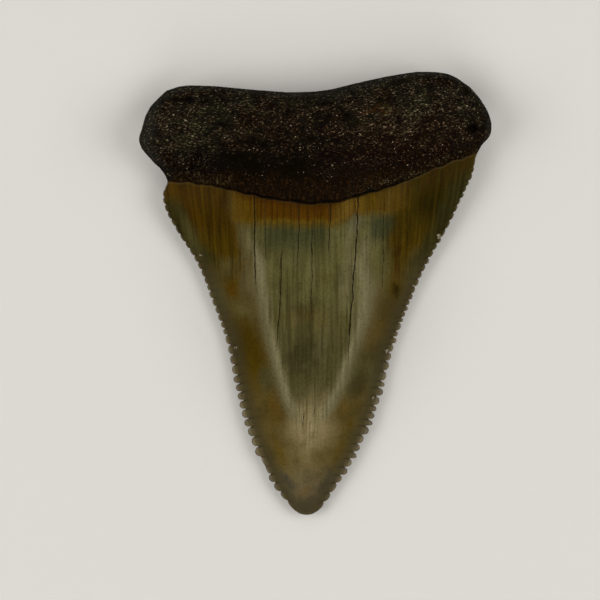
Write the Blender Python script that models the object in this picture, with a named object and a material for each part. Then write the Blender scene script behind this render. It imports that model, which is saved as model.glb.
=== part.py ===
"""A fossil great white shark tooth: an upper front tooth, which grew as one piece.

It lies on its flat outer face, as it would on a table. The bulging inner face looks up (+Z),
the tip points to -Y and the root to +Y. The origin is on the table, under the middle of the
tooth. Lengths below are in millimetres. Run it with: blender --background --python part.py
"""

import bisect
import math
import random

import bmesh
import bpy
import numpy as np
from mathutils import Vector, noise

MM = 0.001

# Outline seen from above. The sides are (y, x) from the tip to the corners of the root, and
# pass the ends of the enamel at the two margin heights below.
LEFT_SIDE = (
    (-23.75, -2.3), (-21.6, -4.1), (-18.3, -5.9), (-13.9, -7.6), (-9.5, -8.7), (-5.1, -9.7),
    (-0.7, -11.3), (3.7, -13.1), (7.0, -15.2), (9.6, -16.5), (11.2, -16.7), (12.4, -16.3),
    (13.3, -16.7), (14.6, -17.9), (16.3, -19.25), (18.4, -18.95), (20.5, -18.1), (22.3, -16.3),
)
RIGHT_SIDE = (
    (-23.8, 0.3), (-21.6, 1.95), (-18.3, 3.9), (-13.9, 6.05), (-9.5, 7.45), (-5.1, 8.7),
    (-0.7, 10.4), (3.7, 12.4), (7.0, 14.3), (10.3, 15.9), (13.3, 17.25), (15.6, 17.85),
    (16.4, 18.35), (17.4, 19.15), (18.5, 19.3), (19.8, 18.95), (21.3, 18.1), (22.7, 16.9),
)
MARGIN_LEFT_Y, MARGIN_RIGHT_Y = 12.4, 15.6
TIP_ROUNDING = 0.65

# The top of the root and the enamel's border on the inner face, as (x, y) from left to right.
ROOT_TOP = (
    (-16.3, 22.3), (-14.8, 22.75), (-12.0, 22.8), (-7.0, 22.4), (-2.0, 22.1), (1.0, 22.3),
    (4.5, 23.1), (8.5, 23.95), (12.0, 24.35), (15.0, 23.9), (16.9, 22.7),
)
INNER_MARGIN = (
    (-16.3, 12.4), (-13.1, 12.1), (-9.3, 11.3), (-6.0, 10.6), (0.5, 9.85), (4.8, 10.7),
    (9.5, 12.2), (13.2, 13.8), (17.85, 15.6),
)
OUTER_MARGIN_BOW = 1.3

# Heights along the middle of the tooth, as (y, z): the crest of the inner face, the cutting
# edge, and the outer face, which is hollow under the base of the crown.
CREST = (
    (-24.5, 1.45), (-23.0, 2.1), (-19.0, 3.3), (-13.9, 4.7), (-7.0, 5.7), (0.0, 6.3), (6.0, 6.6),
    (11.0, 6.7), (16.0, 6.5),
)
CUTTING_EDGE = ((-24.5, 1.15), (-15.0, 1.35), (0.0, 1.5), (7.0, 2.0), (12.0, 2.8), (16.0, 3.3))
OUTER_FACE = (
    (-24.5, 1.0), (-20.0, 0.5), (-15.0, 0.12), (-11.5, -0.06), (-5.5, -0.06), (0.0, 0.1),
    (4.0, 0.36), (8.0, 0.55), (10.5, 0.45), (13.5, -0.05), (16.0, -0.12), (19.5, -0.1), (25.0, 0.0),
)
OUTER_FACE_CURVE = 2.4
ROOT_GROOVE_DEPTH, ROOT_GROOVE_WIDTH = 0.9, 5.0
WORN_DEPTH = 0.15

# The two ridges of the inner face, as (y, share of the half width), and the shallow panel
# between them. They meet in one ridge near the tip.
LEFT_RIDGE = (
    (-24.5, 0.04), (-17.0, 0.05), (-14.2, 0.15), (-11.6, 0.31), (-8.0, 0.42), (-4.1, 0.49),
    (0.2, 0.49), (6.3, 0.48), (16.0, 0.55),
)
RIGHT_RIDGE = (
    (-24.5, 0.04), (-17.0, 0.05), (-14.2, 0.15), (-11.6, 0.32), (-8.0, 0.43), (-4.1, 0.51),
    (0.2, 0.49), (3.0, 0.43), (6.3, 0.42), (16.0, 0.5),
)
PANEL_DIP = ((-24.5, 0.0), (-14.5, 0.0), (-9.0, 0.28), (0.0, 0.34), (8.0, 0.12), (16.0, 0.0))
RIDGE_ROUNDING = ((-24.5, 0.25), (-15.0, 0.5), (-10.0, 0.22), (0.0, 0.3), (8.0, 0.9), (16.0, 1.2))
FLANK_HOLLOW = 1.25
BLADE_THICKNESS, BLADE_ROUNDING = 0.3, 0.22

# The root: a thick dome, highest in the middle, with two blunt lobes.
ROOT_RIM_Z = 4.3
LOBE_Z, MIDDLE_RISE, MIDDLE_WIDTH = 8.3, 1.9, 7.5
NECK_LENGTH = 0.55
DOME_SIDE_POWER, DOME_TOP_POWER = 4.0, 3.2
OUTER_SIDE_POWER, OUTER_TOP_POWER = 6.0, 5.0
ROOT_HEIGHT = ROOT_TOP[4][1] - INNER_MARGIN[4][1]
LIP_HEIGHT, LIP_LENGTH = 0.28, 0.22
LUMP_HEIGHT, LUMP_SIZE = 0.22, 3.0
VESSEL_HOLE_X, VESSEL_HOLE_Y = 17.1, 18.1
VESSEL_HOLE_RADIUS, VESSEL_HOLE_DEPTH = 0.45, 1.1

# Serrations: rounded beads, coarse along the lower half and worn low towards the root.
BEAD_PITCH_LOW, BEAD_PITCH_HIGH = 0.96, 0.79
BEAD_RELIEF = (
    (0.0, 0.2), (0.05, 0.42), (0.1, 0.54), (0.42, 0.54), (0.52, 0.38), (0.65, 0.28), (0.8, 0.2),
    (0.96, 0.12), (1.0, 0.0),
)
BEAD_REACH = 0.8
COARSE_PART = 0.5
CHIPPED_FROM_Y, CHIPPED_TO_Y = -19.9, -18.1
SEED = 4

# Mesh density.
COLUMNS = 16
ROWS_PER_COARSE_BEAD, ROWS_PER_WORN_BEAD = 4, 2
ROOT_ROWS = 14
RIM_CROWDING = 0.75

ENAMEL = ("fossil_enamel", (0.19, 0.165, 0.085, 1.0), 0.35)
ROOT_BONE = ("fossil_root", (0.028, 0.018, 0.012, 1.0), 0.6)


def clear_scene():
    for thing in list(bpy.data.objects):
        bpy.data.objects.remove(thing, do_unlink=True)


def lerp(a, b, share):
    return a + (b - a) * share


def smoothstep(low, high, value):
    share = min(max((value - low) / (high - low), 0.0), 1.0)
    return share * share * (3 - 2 * share)


def soft_least(a, b, rounding):
    """The smaller of two heights, with the corner between them rounded off."""
    return 0.5 * (a + b - math.hypot(a - b, rounding))


def through(anchors, at):
    """The smooth curve through (station, value) anchors, read at one station."""
    stations, values = zip(*anchors)
    slopes = np.gradient(values, stations)
    i = min(max(bisect.bisect(stations, at) - 1, 0), len(stations) - 2)
    span = stations[i + 1] - stations[i]
    f = min(max((at - stations[i]) / span, 0.0), 1.0)
    rise = values[i] * (2 * f**3 - 3 * f**2 + 1) + values[i + 1] * (3 * f**2 - 2 * f**3)
    lean = slopes[i] * (f**3 - 2 * f**2 + f) + slopes[i + 1] * (f**3 - f**2)
    return float(rise + lean * span)


def crown_stations():
    """Rows of the crown as (share of the way from tip to margin, share of a bead)."""
    length = lerp(MARGIN_LEFT_Y, MARGIN_RIGHT_Y, 0.5) - RIGHT_SIDE[0][0]
    borders = [0.0]
    while borders[-1] < length:
        high = smoothstep(COARSE_PART - 0.05, COARSE_PART + 0.1, borders[-1] / length)
        borders.append(borders[-1] + lerp(BEAD_PITCH_LOW, BEAD_PITCH_HIGH, high))
    stations = []
    for low, high in zip(borders, borders[1:]):
        coarse = low / length < COARSE_PART
        count = ROWS_PER_COARSE_BEAD if coarse else ROWS_PER_WORN_BEAD
        for k in range(count):
            stations.append((lerp(low, high, k / count) / borders[-1], k / count))
    stations.append((1.0, 0.0))
    return stations


def root_stations():
    """Rows of the root as the share of the way from margin to top, closer near the top."""
    return [
        math.sin(0.5 * math.pi * (k / ROOT_ROWS) ** 1.1) for k in range(1, ROOT_ROWS + 1)
    ]


def bead_sizes(count, seed):
    dice = random.Random(seed)
    return [dice.uniform(0.8, 1.15) for _ in range(count)]


def side_point(side, y):
    return Vector((through(side, y), y))


def outward(side, y, sign):
    """The direction in plan that points away from the tooth at one height of a side."""
    step = 0.6
    along = side_point(side, y + step) - side_point(side, y - step)
    return Vector((along.y, -along.x)).normalized() * sign


def tip_bow(u):
    """How far the round tip reaches below the straight line between its two ends."""
    return -TIP_ROUNDING * math.sqrt(max(1 - u * u, 0.0))


def margin_bow(u, inner):
    """How far the enamel's border lies above the straight line between its two ends."""
    share = 0.5 * (u + 1)
    if not inner:
        return OUTER_MARGIN_BOW * 4 * share * (1 - share)
    x = lerp(INNER_MARGIN[0][0], INNER_MARGIN[-1][0], share)
    return through(INNER_MARGIN, x) - lerp(MARGIN_LEFT_Y, MARGIN_RIGHT_Y, share)


def inner_section(u, y, from_edge):
    """Height of the inner crown face above the cutting edge: panel, ridges and flanks."""
    edge = through(CUTTING_EDGE, y)
    crest = through(CREST, y) - edge
    ridge = through(LEFT_RIDGE if u < 0 else RIGHT_RIDGE, y)
    t = abs(u)
    dip = through(PANEL_DIP, y) * max(1 - (t / ridge) ** 2, 0.0)
    flank = crest * (max(1 - t, 0.0) / (1 - ridge)) ** FLANK_HOLLOW
    rounding = min(through(RIDGE_ROUNDING, y), crest)
    roof = max(soft_least(crest - dip, flank, rounding), 0.0)
    blade = BLADE_THICKNESS * (1 - math.exp(-from_edge / BLADE_ROUNDING))
    return roof * (1 - math.exp(-3 * from_edge)) + blade


def outer_face(x, y):
    """Height of the outer face along the middle, with the groove between the root's lobes."""
    groove = ROOT_GROOVE_DEPTH * smoothstep(11.0, 17.0, y) * math.exp(-((x / ROOT_GROOVE_WIDTH) ** 2))
    return through(OUTER_FACE, y) + groove


def worn_flat(z, edge):
    """A height of the outer face, with its lowest parts worn down to the table's plane."""
    return max(z - WORN_DEPTH, 0.0) * edge / (edge - WORN_DEPTH)


def bead(sizes, number, share, reach, y, sign):
    """How far a serration stands out of the mean outline, at one row of one side."""
    relief = through(BEAD_RELIEF, reach) * sizes[number]
    if sign < 0 and CHIPPED_FROM_Y < y < CHIPPED_TO_Y:
        relief *= 0.1
    return relief * (math.sqrt(max(1 - (2 * share - 1) ** 2, 0.0)) - 0.5)


def crown_point(u, station, row_beads, inner):
    """A point of the crown, from its place across (-1 to 1) and its row."""
    reach = station[0]
    left_y = lerp(LEFT_SIDE[0][0], MARGIN_LEFT_Y, reach)
    right_y = lerp(RIGHT_SIDE[0][0], MARGIN_RIGHT_Y, reach)
    left, right = side_point(LEFT_SIDE, left_y), side_point(RIGHT_SIDE, right_y)
    width = (right - left).length
    point = left.lerp(right, 0.5 * (u + 1))
    point.y += tip_bow(u) * max(1 - 12 * reach, 0.0) ** 2 + margin_bow(u, inner) * reach**4
    for side, y, sign, size in (
        (LEFT_SIDE, left_y, -1, row_beads[0]), (RIGHT_SIDE, right_y, 1, row_beads[1]),
    ):
        inside = 0.5 * width * (1 - sign * u)
        point += outward(side, y, sign) * size * math.exp(-inside / BEAD_REACH)
    from_side = 0.5 * width * (1 - abs(u))
    from_tip = reach * (MARGIN_LEFT_Y - LEFT_SIDE[0][0])
    from_edge = min(from_side, from_tip)
    edge = through(CUTTING_EDGE, point.y if 0 < from_side else (left_y if u < 0 else right_y))
    if inner:
        return Vector((*point, edge + inner_section(u, point.y, from_edge)))
    share = max(abs(u) ** OUTER_FACE_CURVE, math.exp(-from_tip / 0.5))
    return Vector((*point, worn_flat(lerp(outer_face(*point), edge, share), edge)))


def root_point(u, reach, inner):
    """A point of the root, from its place across (-1 to 1) and its height above the margin."""
    across = 0.5 * (u + 1)
    left = side_point(LEFT_SIDE, lerp(MARGIN_LEFT_Y, LEFT_SIDE[-1][0], reach))
    right = side_point(RIGHT_SIDE, lerp(MARGIN_RIGHT_Y, RIGHT_SIDE[-1][0], reach))
    top_x = lerp(ROOT_TOP[0][0], ROOT_TOP[-1][0], across)
    top_bow = through(ROOT_TOP, top_x) - lerp(ROOT_TOP[0][1], ROOT_TOP[-1][1], across)
    point = left.lerp(right, across)
    point.y += margin_bow(u, inner) * (1 - reach) + top_bow * reach
    half_width = 0.5 * (right - left).length

    rise = smoothstep(0.0, NECK_LENGTH, reach)
    margin_y = lerp(MARGIN_LEFT_Y, MARGIN_RIGHT_Y, across) + margin_bow(u, inner)
    edge = through(CUTTING_EDGE, MARGIN_LEFT_Y if u < 0 else MARGIN_RIGHT_Y)
    rim = lerp(edge, ROOT_RIM_Z, rise)
    if inner:
        across_dome = max(1 - abs(u) ** DOME_SIDE_POWER, 0.0) ** 0.5
        along_dome = max(1 - reach**DOME_TOP_POWER, 0.0) ** 0.5
        lump = LUMP_HEIGHT * noise.noise(Vector((*point, 0.0)) / LUMP_SIZE)
        middle = LOBE_Z + MIDDLE_RISE * math.exp(-((point.x / MIDDLE_WIDTH) ** 2)) + lump
        dome = (middle - rim) * across_dome * along_dome
        lip = LIP_HEIGHT * min(1.0, 4 * (1 - abs(u)))
        neck = inner_section(u, margin_y, half_width * (1 - abs(u))) + lip
        return Vector((*point, rim + lerp(neck, dome, rise)))
    across_flat = max(1 - abs(u) ** OUTER_SIDE_POWER, 0.0) ** 0.5
    along_flat = max(1 - reach**OUTER_TOP_POWER, 0.0) ** 0.5
    crown_like = 1 - abs(u) ** OUTER_FACE_CURVE
    share = lerp(crown_like, across_flat, smoothstep(0.0, 0.3, reach)) * along_flat
    return Vector((*point, worn_flat(lerp(rim, outer_face(*point), share), rim)))


def column_place(share):
    """Place across the tooth for an even share from -1 to 1, crowded towards the edges."""
    return lerp(share, math.sin(0.5 * math.pi * share), RIM_CROWDING)


def shape_sheet(verts, inner):
    """Moves a flat grid's points onto the inner or the outer face."""
    crown = crown_stations()
    root = [LIP_LENGTH / ROOT_HEIGHT] + root_stations()
    last = len(crown) + len(root) - 1
    beads_before = np.cumsum([share == 0 for _, share in crown]) - 1
    sizes = (bead_sizes(len(crown), SEED), bead_sizes(len(crown), SEED + 1))
    for vert in verts:
        row = round(0.5 * (vert.co.y + 1) * last)
        u = column_place(vert.co.x)
        if row >= len(crown):
            vert.co = root_point(u, root[row - len(crown)], inner) * MM
            continue
        reach, share = crown[row]
        row_beads = []
        for side, sign, top in ((0, -1, MARGIN_LEFT_Y), (1, 1, MARGIN_RIGHT_Y)):
            y = lerp(LEFT_SIDE[0][0], top, reach)
            row_beads.append(bead(sizes[side], beads_before[row], share, reach, y, sign))
        vert.co = crown_point(u, crown[row], row_beads, inner) * MM


def make_tooth():
    """Both faces of the tooth as grids from edge to edge, sewn along their shared outline."""
    rows = len(crown_stations()) + ROOT_ROWS
    bm = bmesh.new()
    bmesh.ops.create_grid(bm, x_segments=COLUMNS, y_segments=rows, size=1.0)
    inner_verts = list(bm.verts)
    for face in bm.faces:
        row = 0.5 * (face.calc_center_median().y + 1) * rows
        face.material_index = int(row > len(crown_stations()) - 1)
    copy = bmesh.ops.duplicate(bm, geom=list(bm.verts) + list(bm.edges) + list(bm.faces))
    outer_verts = [part for part in copy["geom"] if isinstance(part, bmesh.types.BMVert)]
    outer_faces = [part for part in copy["geom"] if isinstance(part, bmesh.types.BMFace)]
    bmesh.ops.reverse_faces(bm, faces=outer_faces)
    shape_sheet(inner_verts, inner=True)
    shape_sheet(outer_verts, inner=False)
    bmesh.ops.remove_doubles(bm, verts=list(bm.verts), dist=0.002 * MM)
    mesh = bpy.data.meshes.new("shark_tooth")
    bm.to_mesh(mesh)
    bm.free()
    mesh.shade_smooth()
    tooth = bpy.data.objects.new("shark_tooth", mesh)
    bpy.context.collection.objects.link(tooth)
    return tooth


def cut_vessel_hole(tooth):
    """The small blood vessel hole near the right end of the root."""
    mouth_z = max(
        vert.co.z for vert in tooth.data.vertices
        if (vert.co.xy / MM - Vector((VESSEL_HOLE_X, VESSEL_HOLE_Y))).length < 1.5
    )
    bpy.ops.mesh.primitive_cone_add(
        vertices=10, radius1=VESSEL_HOLE_RADIUS * 0.5 * MM, radius2=VESSEL_HOLE_RADIUS * 2.0 * MM,
        depth=2 * VESSEL_HOLE_DEPTH * MM,
        location=(VESSEL_HOLE_X * MM, VESSEL_HOLE_Y * MM, mouth_z),
    )
    cutter = bpy.context.object
    cutter.name = "vessel_hole_cutter"
    cutter.hide_render = True
    cutter.display_type = "WIRE"
    hole = tooth.modifiers.new("vessel_hole", "BOOLEAN")
    hole.operation = "DIFFERENCE"
    hole.object = cutter


def add_material(tooth, name, colour, roughness):
    material = bpy.data.materials.new(name)
    material.use_nodes = True
    shader = material.node_tree.nodes["Principled BSDF"]
    shader.inputs["Base Color"].default_value = colour
    shader.inputs["Roughness"].default_value = roughness
    shader.inputs["Metallic"].default_value = 0.0
    tooth.data.materials.append(material)


def main():
    clear_scene()
    tooth = make_tooth()
    for finish in (ENAMEL, ROOT_BONE):
        add_material(tooth, *finish)
    cut_vessel_hole(tooth)


main()
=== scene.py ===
"""The looks of a fossil great white shark tooth, which lies on its flat outer face.

The tooth is one piece: a grid for the face that looks up and one for the face below, bent from
a flat plan of the tooth and sewn along the outline. Attributes on its points say how far each
is from the enamel's border, the cutting edge, the ridges and the cracks, and the two finishes,
fossil enamel and fossil root bone, are painted from them by nodes. Lengths are in millimetres
up to the finished mesh, which is in metres.
"""

import logging
import math
import random
from collections.abc import Iterator
from contextlib import contextmanager
from dataclasses import dataclass
from enum import Enum
from typing import Any

import bmesh
import bpy
import numpy as np
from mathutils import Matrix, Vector, noise


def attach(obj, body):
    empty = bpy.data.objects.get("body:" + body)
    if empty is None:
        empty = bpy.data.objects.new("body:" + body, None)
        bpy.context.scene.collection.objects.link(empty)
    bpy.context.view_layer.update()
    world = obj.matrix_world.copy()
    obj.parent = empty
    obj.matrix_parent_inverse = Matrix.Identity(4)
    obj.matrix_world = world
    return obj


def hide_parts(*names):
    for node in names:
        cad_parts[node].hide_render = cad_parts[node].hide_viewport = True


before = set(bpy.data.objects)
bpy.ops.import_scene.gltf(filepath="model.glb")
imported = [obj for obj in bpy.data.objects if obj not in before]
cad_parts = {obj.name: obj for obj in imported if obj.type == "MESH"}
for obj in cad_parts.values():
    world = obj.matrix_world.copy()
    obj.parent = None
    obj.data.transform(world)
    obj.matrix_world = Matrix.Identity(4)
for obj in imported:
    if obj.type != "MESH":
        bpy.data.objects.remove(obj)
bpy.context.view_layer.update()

MM = 0.001
NODE, SLOT, BODY = "shark_tooth", "fossil_tooth", "root"
PIECE = "fossil_tooth"

# Mesh density: columns across the tooth, and rows of the crown, of the lip along the enamel's
# border, and of the rest of the root.
COLUMNS = 120
CROWN_ROWS, LIP_ROWS, ROOT_ROWS = 322, 6, 66
# How strongly the columns crowd towards the edges, and the root's rows towards its top.
EDGE_CROWDING, TOP_CROWDING = 0.72, 1.1
# Samples with which the columns' crowding is read backwards.
CROWDING_SAMPLES = 2001
# Rounds in which a plan point is found on the flat grid, and the farthest place across for one.
FLATTEN_ROUNDS, FARTHEST_ACROSS = 12, 0.98
# Cracks are cut into the flat grid: how far round them, at every how many rows, how exactly.
CUT_REACH, CUT_ROWS, CUT_PRECISION = 0.05, 5.0, 1e-5
# No crack counts as narrower than this, on the flat grid.
THINNEST = 1e-6
# A plan point this far beside another, in millimetres, tells the flat grid's scale there.
PROBE = 0.1
# Points of the two faces that are closer than this, in millimetres, are sewn into one.
SEAM_GAP = 0.0005
# The two faces read their noise this far apart, so that neither repeats the other: the noise of
# the finishes, and that of the flutes.
OUTER_SHIFT, FLUTE_SHIFT = 40.0, 9
# A row this little above the crown's last one is still of the crown.
ROW_SLACK = 0.001
# Depth of a stain that goes right through the tooth, from one face to the other.
THROUGH = 1000.0
# Numbers of the Mix node's sockets for colours: the share, the two colours and the result.
MIX_SHARE, MIX_BELOW, MIX_ABOVE, MIX_RESULT = 0, 6, 7, 2

Socket = bpy.types.NodeSocket
Array = np.ndarray
Triple = tuple[float, float, float]
Pairs = tuple[tuple[float, float], ...]


class Face(Enum):
    """The two faces of the tooth, by the height at which the flat plan holds them."""

    INNER = 0.0
    OUTER = -1.0


class Surface(Enum):
    """The tooth's two materials, by their slot."""

    ENAMEL = 0
    ROOT = 1


def lerp(a: Any, b: Any, share: Any) -> Any:
    """The value a share of the way from a to b."""
    return a + (b - a) * share


def smoothstep(low: float, high: float, value: Array) -> Array:
    """Rise softly from 0 to 1 between two limits.

    Args:
        low: Where the rise starts.
        high: Where it ends.
        value: The values to read it at.

    Returns:
        The rise, from 0 to 1, for each value.
    """
    share = np.clip((value - low) / (high - low), 0.0, 1.0)
    return share * share * (3 - 2 * share)


@dataclass(frozen=True)
class Ramp:
    """A soft rise from 0 to 1 between two readings, or a fall where the first is the larger."""

    start: float
    end: float

    def at(self, value: Array) -> Array:
        """Read the ramp."""
        return smoothstep(self.start, self.end, value)


def soft_least(a: Array, b: Array, rounding: Array) -> Array:
    """The smaller of two heights, with the corner between them rounded off."""
    return 0.5 * (a + b - np.hypot(a - b, rounding))


def blunt(share: Array, power: float) -> Array:
    """Height of a blunt dome at a share of its reach: 1 in the middle and 0 at its rim."""
    return np.sqrt(np.maximum(1 - share**power, 0.0))


@dataclass(frozen=True)
class Waves:
    """Smooth noise in space: the sizes of its waves in millimetres, and where it is read.

    Each further octave is half as large and half as strong.
    """

    sizes: Triple
    octaves: int = 1
    offset: Triple = (0.0, 0.0, 0.0)

    def at(self, places: Array) -> Array:
        """The noise at places in millimetres, one a row, roughly from -1 to 1."""
        scaled = (places + self.offset) / np.array(self.sizes)
        return np.array([noise.fractal(place, 1.0, 2.0, self.octaves) for place in scaled])


def linear(colour: str) -> tuple[float, float, float, float]:
    """Turn an sRGB hex colour into linear values.

    Args:
        colour: The colour, as in "#A0B0C0".

    Returns:
        Linear red, green and blue, and an alpha of 1.
    """
    parts = [int(colour[i : i + 2], 16) / 255 for i in (1, 3, 5)]
    red, green, blue = (c / 12.92 if c <= 0.04045 else ((c + 0.055) / 1.055) ** 2.4 for c in parts)
    return red, green, blue, 1.0


def stand(name: str, data: bpy.types.ID) -> bpy.types.Object:
    """Put new data into the scene, as an object at the origin.

    Args:
        name: The object's name.
        data: Its mesh, light or camera.

    Returns:
        The object.
    """
    thing = bpy.data.objects.new(name, data)
    bpy.context.collection.objects.link(thing)
    return thing


@contextmanager
def editing(mesh: bpy.types.Mesh) -> Iterator[bmesh.types.BMesh]:
    """Open a mesh for editing, and write it back at the end.

    Args:
        mesh: The mesh, which may be empty.

    Yields:
        The mesh in the form that can be edited.
    """
    bm = bmesh.new()
    bm.from_mesh(mesh)
    yield bm
    bm.to_mesh(mesh)
    bm.free()


def triples(source: Any) -> Array:
    """Read an attribute's or the normals' three numbers for each point.

    Args:
        source: The attribute's data, or the mesh's normals.

    Returns:
        One row for each point.
    """
    values = np.empty(len(source) * 3, np.float32)
    source.foreach_get("vector", values)
    return values.reshape(-1, 3).astype(float)


@dataclass(frozen=True)
class Curve:
    """A smooth curve through (station, value) anchors."""

    anchors: Pairs

    def at(self, where: Array) -> Array:
        """Read the curve.

        Args:
            where: The stations to read it at.

        Returns:
            The value at each station. Past its ends the curve is level.
        """
        stations, values = np.array(self.anchors).T
        slopes = np.gradient(values, stations)
        i = np.clip(np.searchsorted(stations, where, side="right") - 1, 0, len(stations) - 2)
        span = stations[i + 1] - stations[i]
        f = np.clip((where - stations[i]) / span, 0.0, 1.0)
        rise = values[i] * (2 * f**3 - 3 * f**2 + 1) + values[i + 1] * (3 * f**2 - 2 * f**3)
        lean = slopes[i] * (f**3 - 2 * f**2 + f) + slopes[i + 1] * (f**3 - f**2)
        return rise + lean * span


@dataclass
class SerratedEdge:
    """One side of the tooth: its outline up to the root's top, and its cutting edge's beads."""

    side: Curve
    top_y: float
    sign: int
    pitch_low: float
    pitch_high: float
    unevenness: float
    seed: int
    chips: Pairs = ()
    coarse_part: float = 0.52
    size_spread: float = 1.3
    chipped_size: float = 0.15
    slope_step: float = 0.6
    # How tall the beads stand, by the share of the way from the tip to the border.
    relief: Curve = Curve((
        (0.0, 0.2), (0.05, 0.42), (0.1, 0.56), (0.42, 0.56), (0.52, 0.4), (0.65, 0.3),
        (0.8, 0.22), (0.96, 0.12), (1.0, 0.0),
    ))

    def __post_init__(self) -> None:
        """Lay out the beads, and give each a whole number of the crown's rows."""
        dice = random.Random(self.seed)
        low, length = self.side.anchors[0][0], self.length
        borders = [low]
        while borders[-1] < self.top_y:
            share = (borders[-1] - low) / length
            pitch = self.pitch_low if share < self.coarse_part else self.pitch_high
            borders.append(borders[-1] + pitch * (1 + self.unevenness * dice.uniform(-1, 1)))
        stretch = length / (borders[-1] - low)
        self.border_y = np.array([low + (y - low) * stretch for y in borders])
        self.border_row = np.round((self.border_y - low) / length * CROWN_ROWS)
        sizes = [1 + self.size_spread * self.unevenness * dice.uniform(-1, 1) for _ in borders]
        middles = 0.5 * (self.border_y[1:] + self.border_y[:-1])
        for chip_low, chip_high in self.chips:
            sizes = [
                self.chipped_size if chip_low < y < chip_high else size
                for y, size in zip(middles, sizes)
            ]
        self.sizes = np.array(sizes)

    @property
    def length(self) -> float:
        """How far the edge reaches along the tooth, from the tip to the enamel's border."""
        return self.top_y - self.side.anchors[0][0]

    def heights(self, rows: Array) -> Array:
        """The y of each row where it meets this edge."""
        return np.interp(rows, self.border_row, self.border_y)

    def lobe(self, rows: Array) -> tuple[Array, Array]:
        """Find where in a bead each row falls.

        Args:
            rows: Rows of the crown, from 0 at the tip.

        Returns:
            How far round its bead each row is, 0 in the notches and 1 on the bead's middle,
            and the size of that bead.
        """
        last = len(self.border_row) - 2
        i = np.clip(np.searchsorted(self.border_row, rows, side="right") - 1, 0, last)
        share = (rows - self.border_row[i]) / (self.border_row[i + 1] - self.border_row[i])
        round_part = np.sqrt(np.clip(1 - (2 * share - 1) ** 2, 0.0, 1.0))
        return round_part, self.sizes[i]

    def outward(self, y: Array) -> tuple[Array, Array]:
        """Find the direction in plan that points away from the tooth.

        Args:
            y: Places along the edge.

        Returns:
            The x and y parts of the direction at each place.
        """
        step = self.slope_step
        run = self.side.at(y + step) - self.side.at(y - step)
        length = np.hypot(run, 2 * step)
        return self.sign * 2 * step / length, -self.sign * run / length

    def bulge(self, rows: Array) -> Array:
        """How far the edge stands out of its mean line at each row, in millimetres."""
        lobe, size = self.lobe(rows)
        return self.relief.at(rows / CROWN_ROWS) * size * (lobe - 0.5)


@dataclass(frozen=True)
class Crack:
    """A drying crack that runs up the inner face, as plan points from its lower end.

    It opens from each end at a pace, counted over its length, from a share of its width.
    """

    path: Pairs
    half_width: float = 0.085
    depth: float = 0.14
    dark: float = 1.0
    wander: float = 0.05
    wander_length: float = 1.1
    point_gap: float = 0.3
    fewest_points: int = 4
    lower_end: tuple[float, float] = (5.0, 0.15)
    upper_end: tuple[float, float] = (8.0, 0.6)
    pulse: float = 0.6
    pulses_per_row: float = 0.13

    def line(self) -> tuple[Array, Array]:
        """Run down the crack's path in plan, with a little wander.

        Returns:
            x and y of points along it.
        """
        path_x, path_y = np.array(self.path).T
        count = max(int((path_y[-1] - path_y[0]) / self.point_gap), self.fewest_points)
        y = np.linspace(path_y[0], path_y[-1], count)
        swing = np.array([noise.noise((path_x[0], h / self.wander_length, 0.0)) for h in y])
        return np.interp(y, path_y, path_x) + self.wander * 2 * swing, y

    def half_widths(self, rows: Array, per_mm: Array) -> Array:
        """Find how wide the crack is: thin at its ends, and uneven between them.

        Args:
            rows: The rows of the crown that it runs over.
            per_mm: How much of the flat grid a millimetre is at each row.

        Returns:
            Half its width at each row, on the flat grid.
        """
        share = np.linspace(0.0, 1.0, len(rows))
        (low_pace, low_start), (high_pace, high_start) = self.lower_end, self.upper_end
        taper = np.minimum(share * low_pace + low_start, (1 - share) * high_pace + high_start)
        start = self.path[0][0]
        beats = [noise.noise((row * self.pulses_per_row, start, 3.0)) for row in rows]
        pulse = 1 + self.pulse * np.array(beats)
        return self.half_width * per_mm * np.clip(taper, 0.0, 1.0) * pulse


@dataclass(frozen=True)
class Chip:
    """A small flake lost from a bead, which shows fresh pale enamel."""

    x: float
    y: float
    radius: float = 0.4
    depth: float = 0.16

    def share(self, x: Array, y: Array) -> Array:
        """How deep in the chip points in plan are, from 0 outside it to 1 in its middle."""
        return np.exp(-(((x - self.x) ** 2 + (y - self.y) ** 2) / self.radius**2) ** 2)


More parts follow.
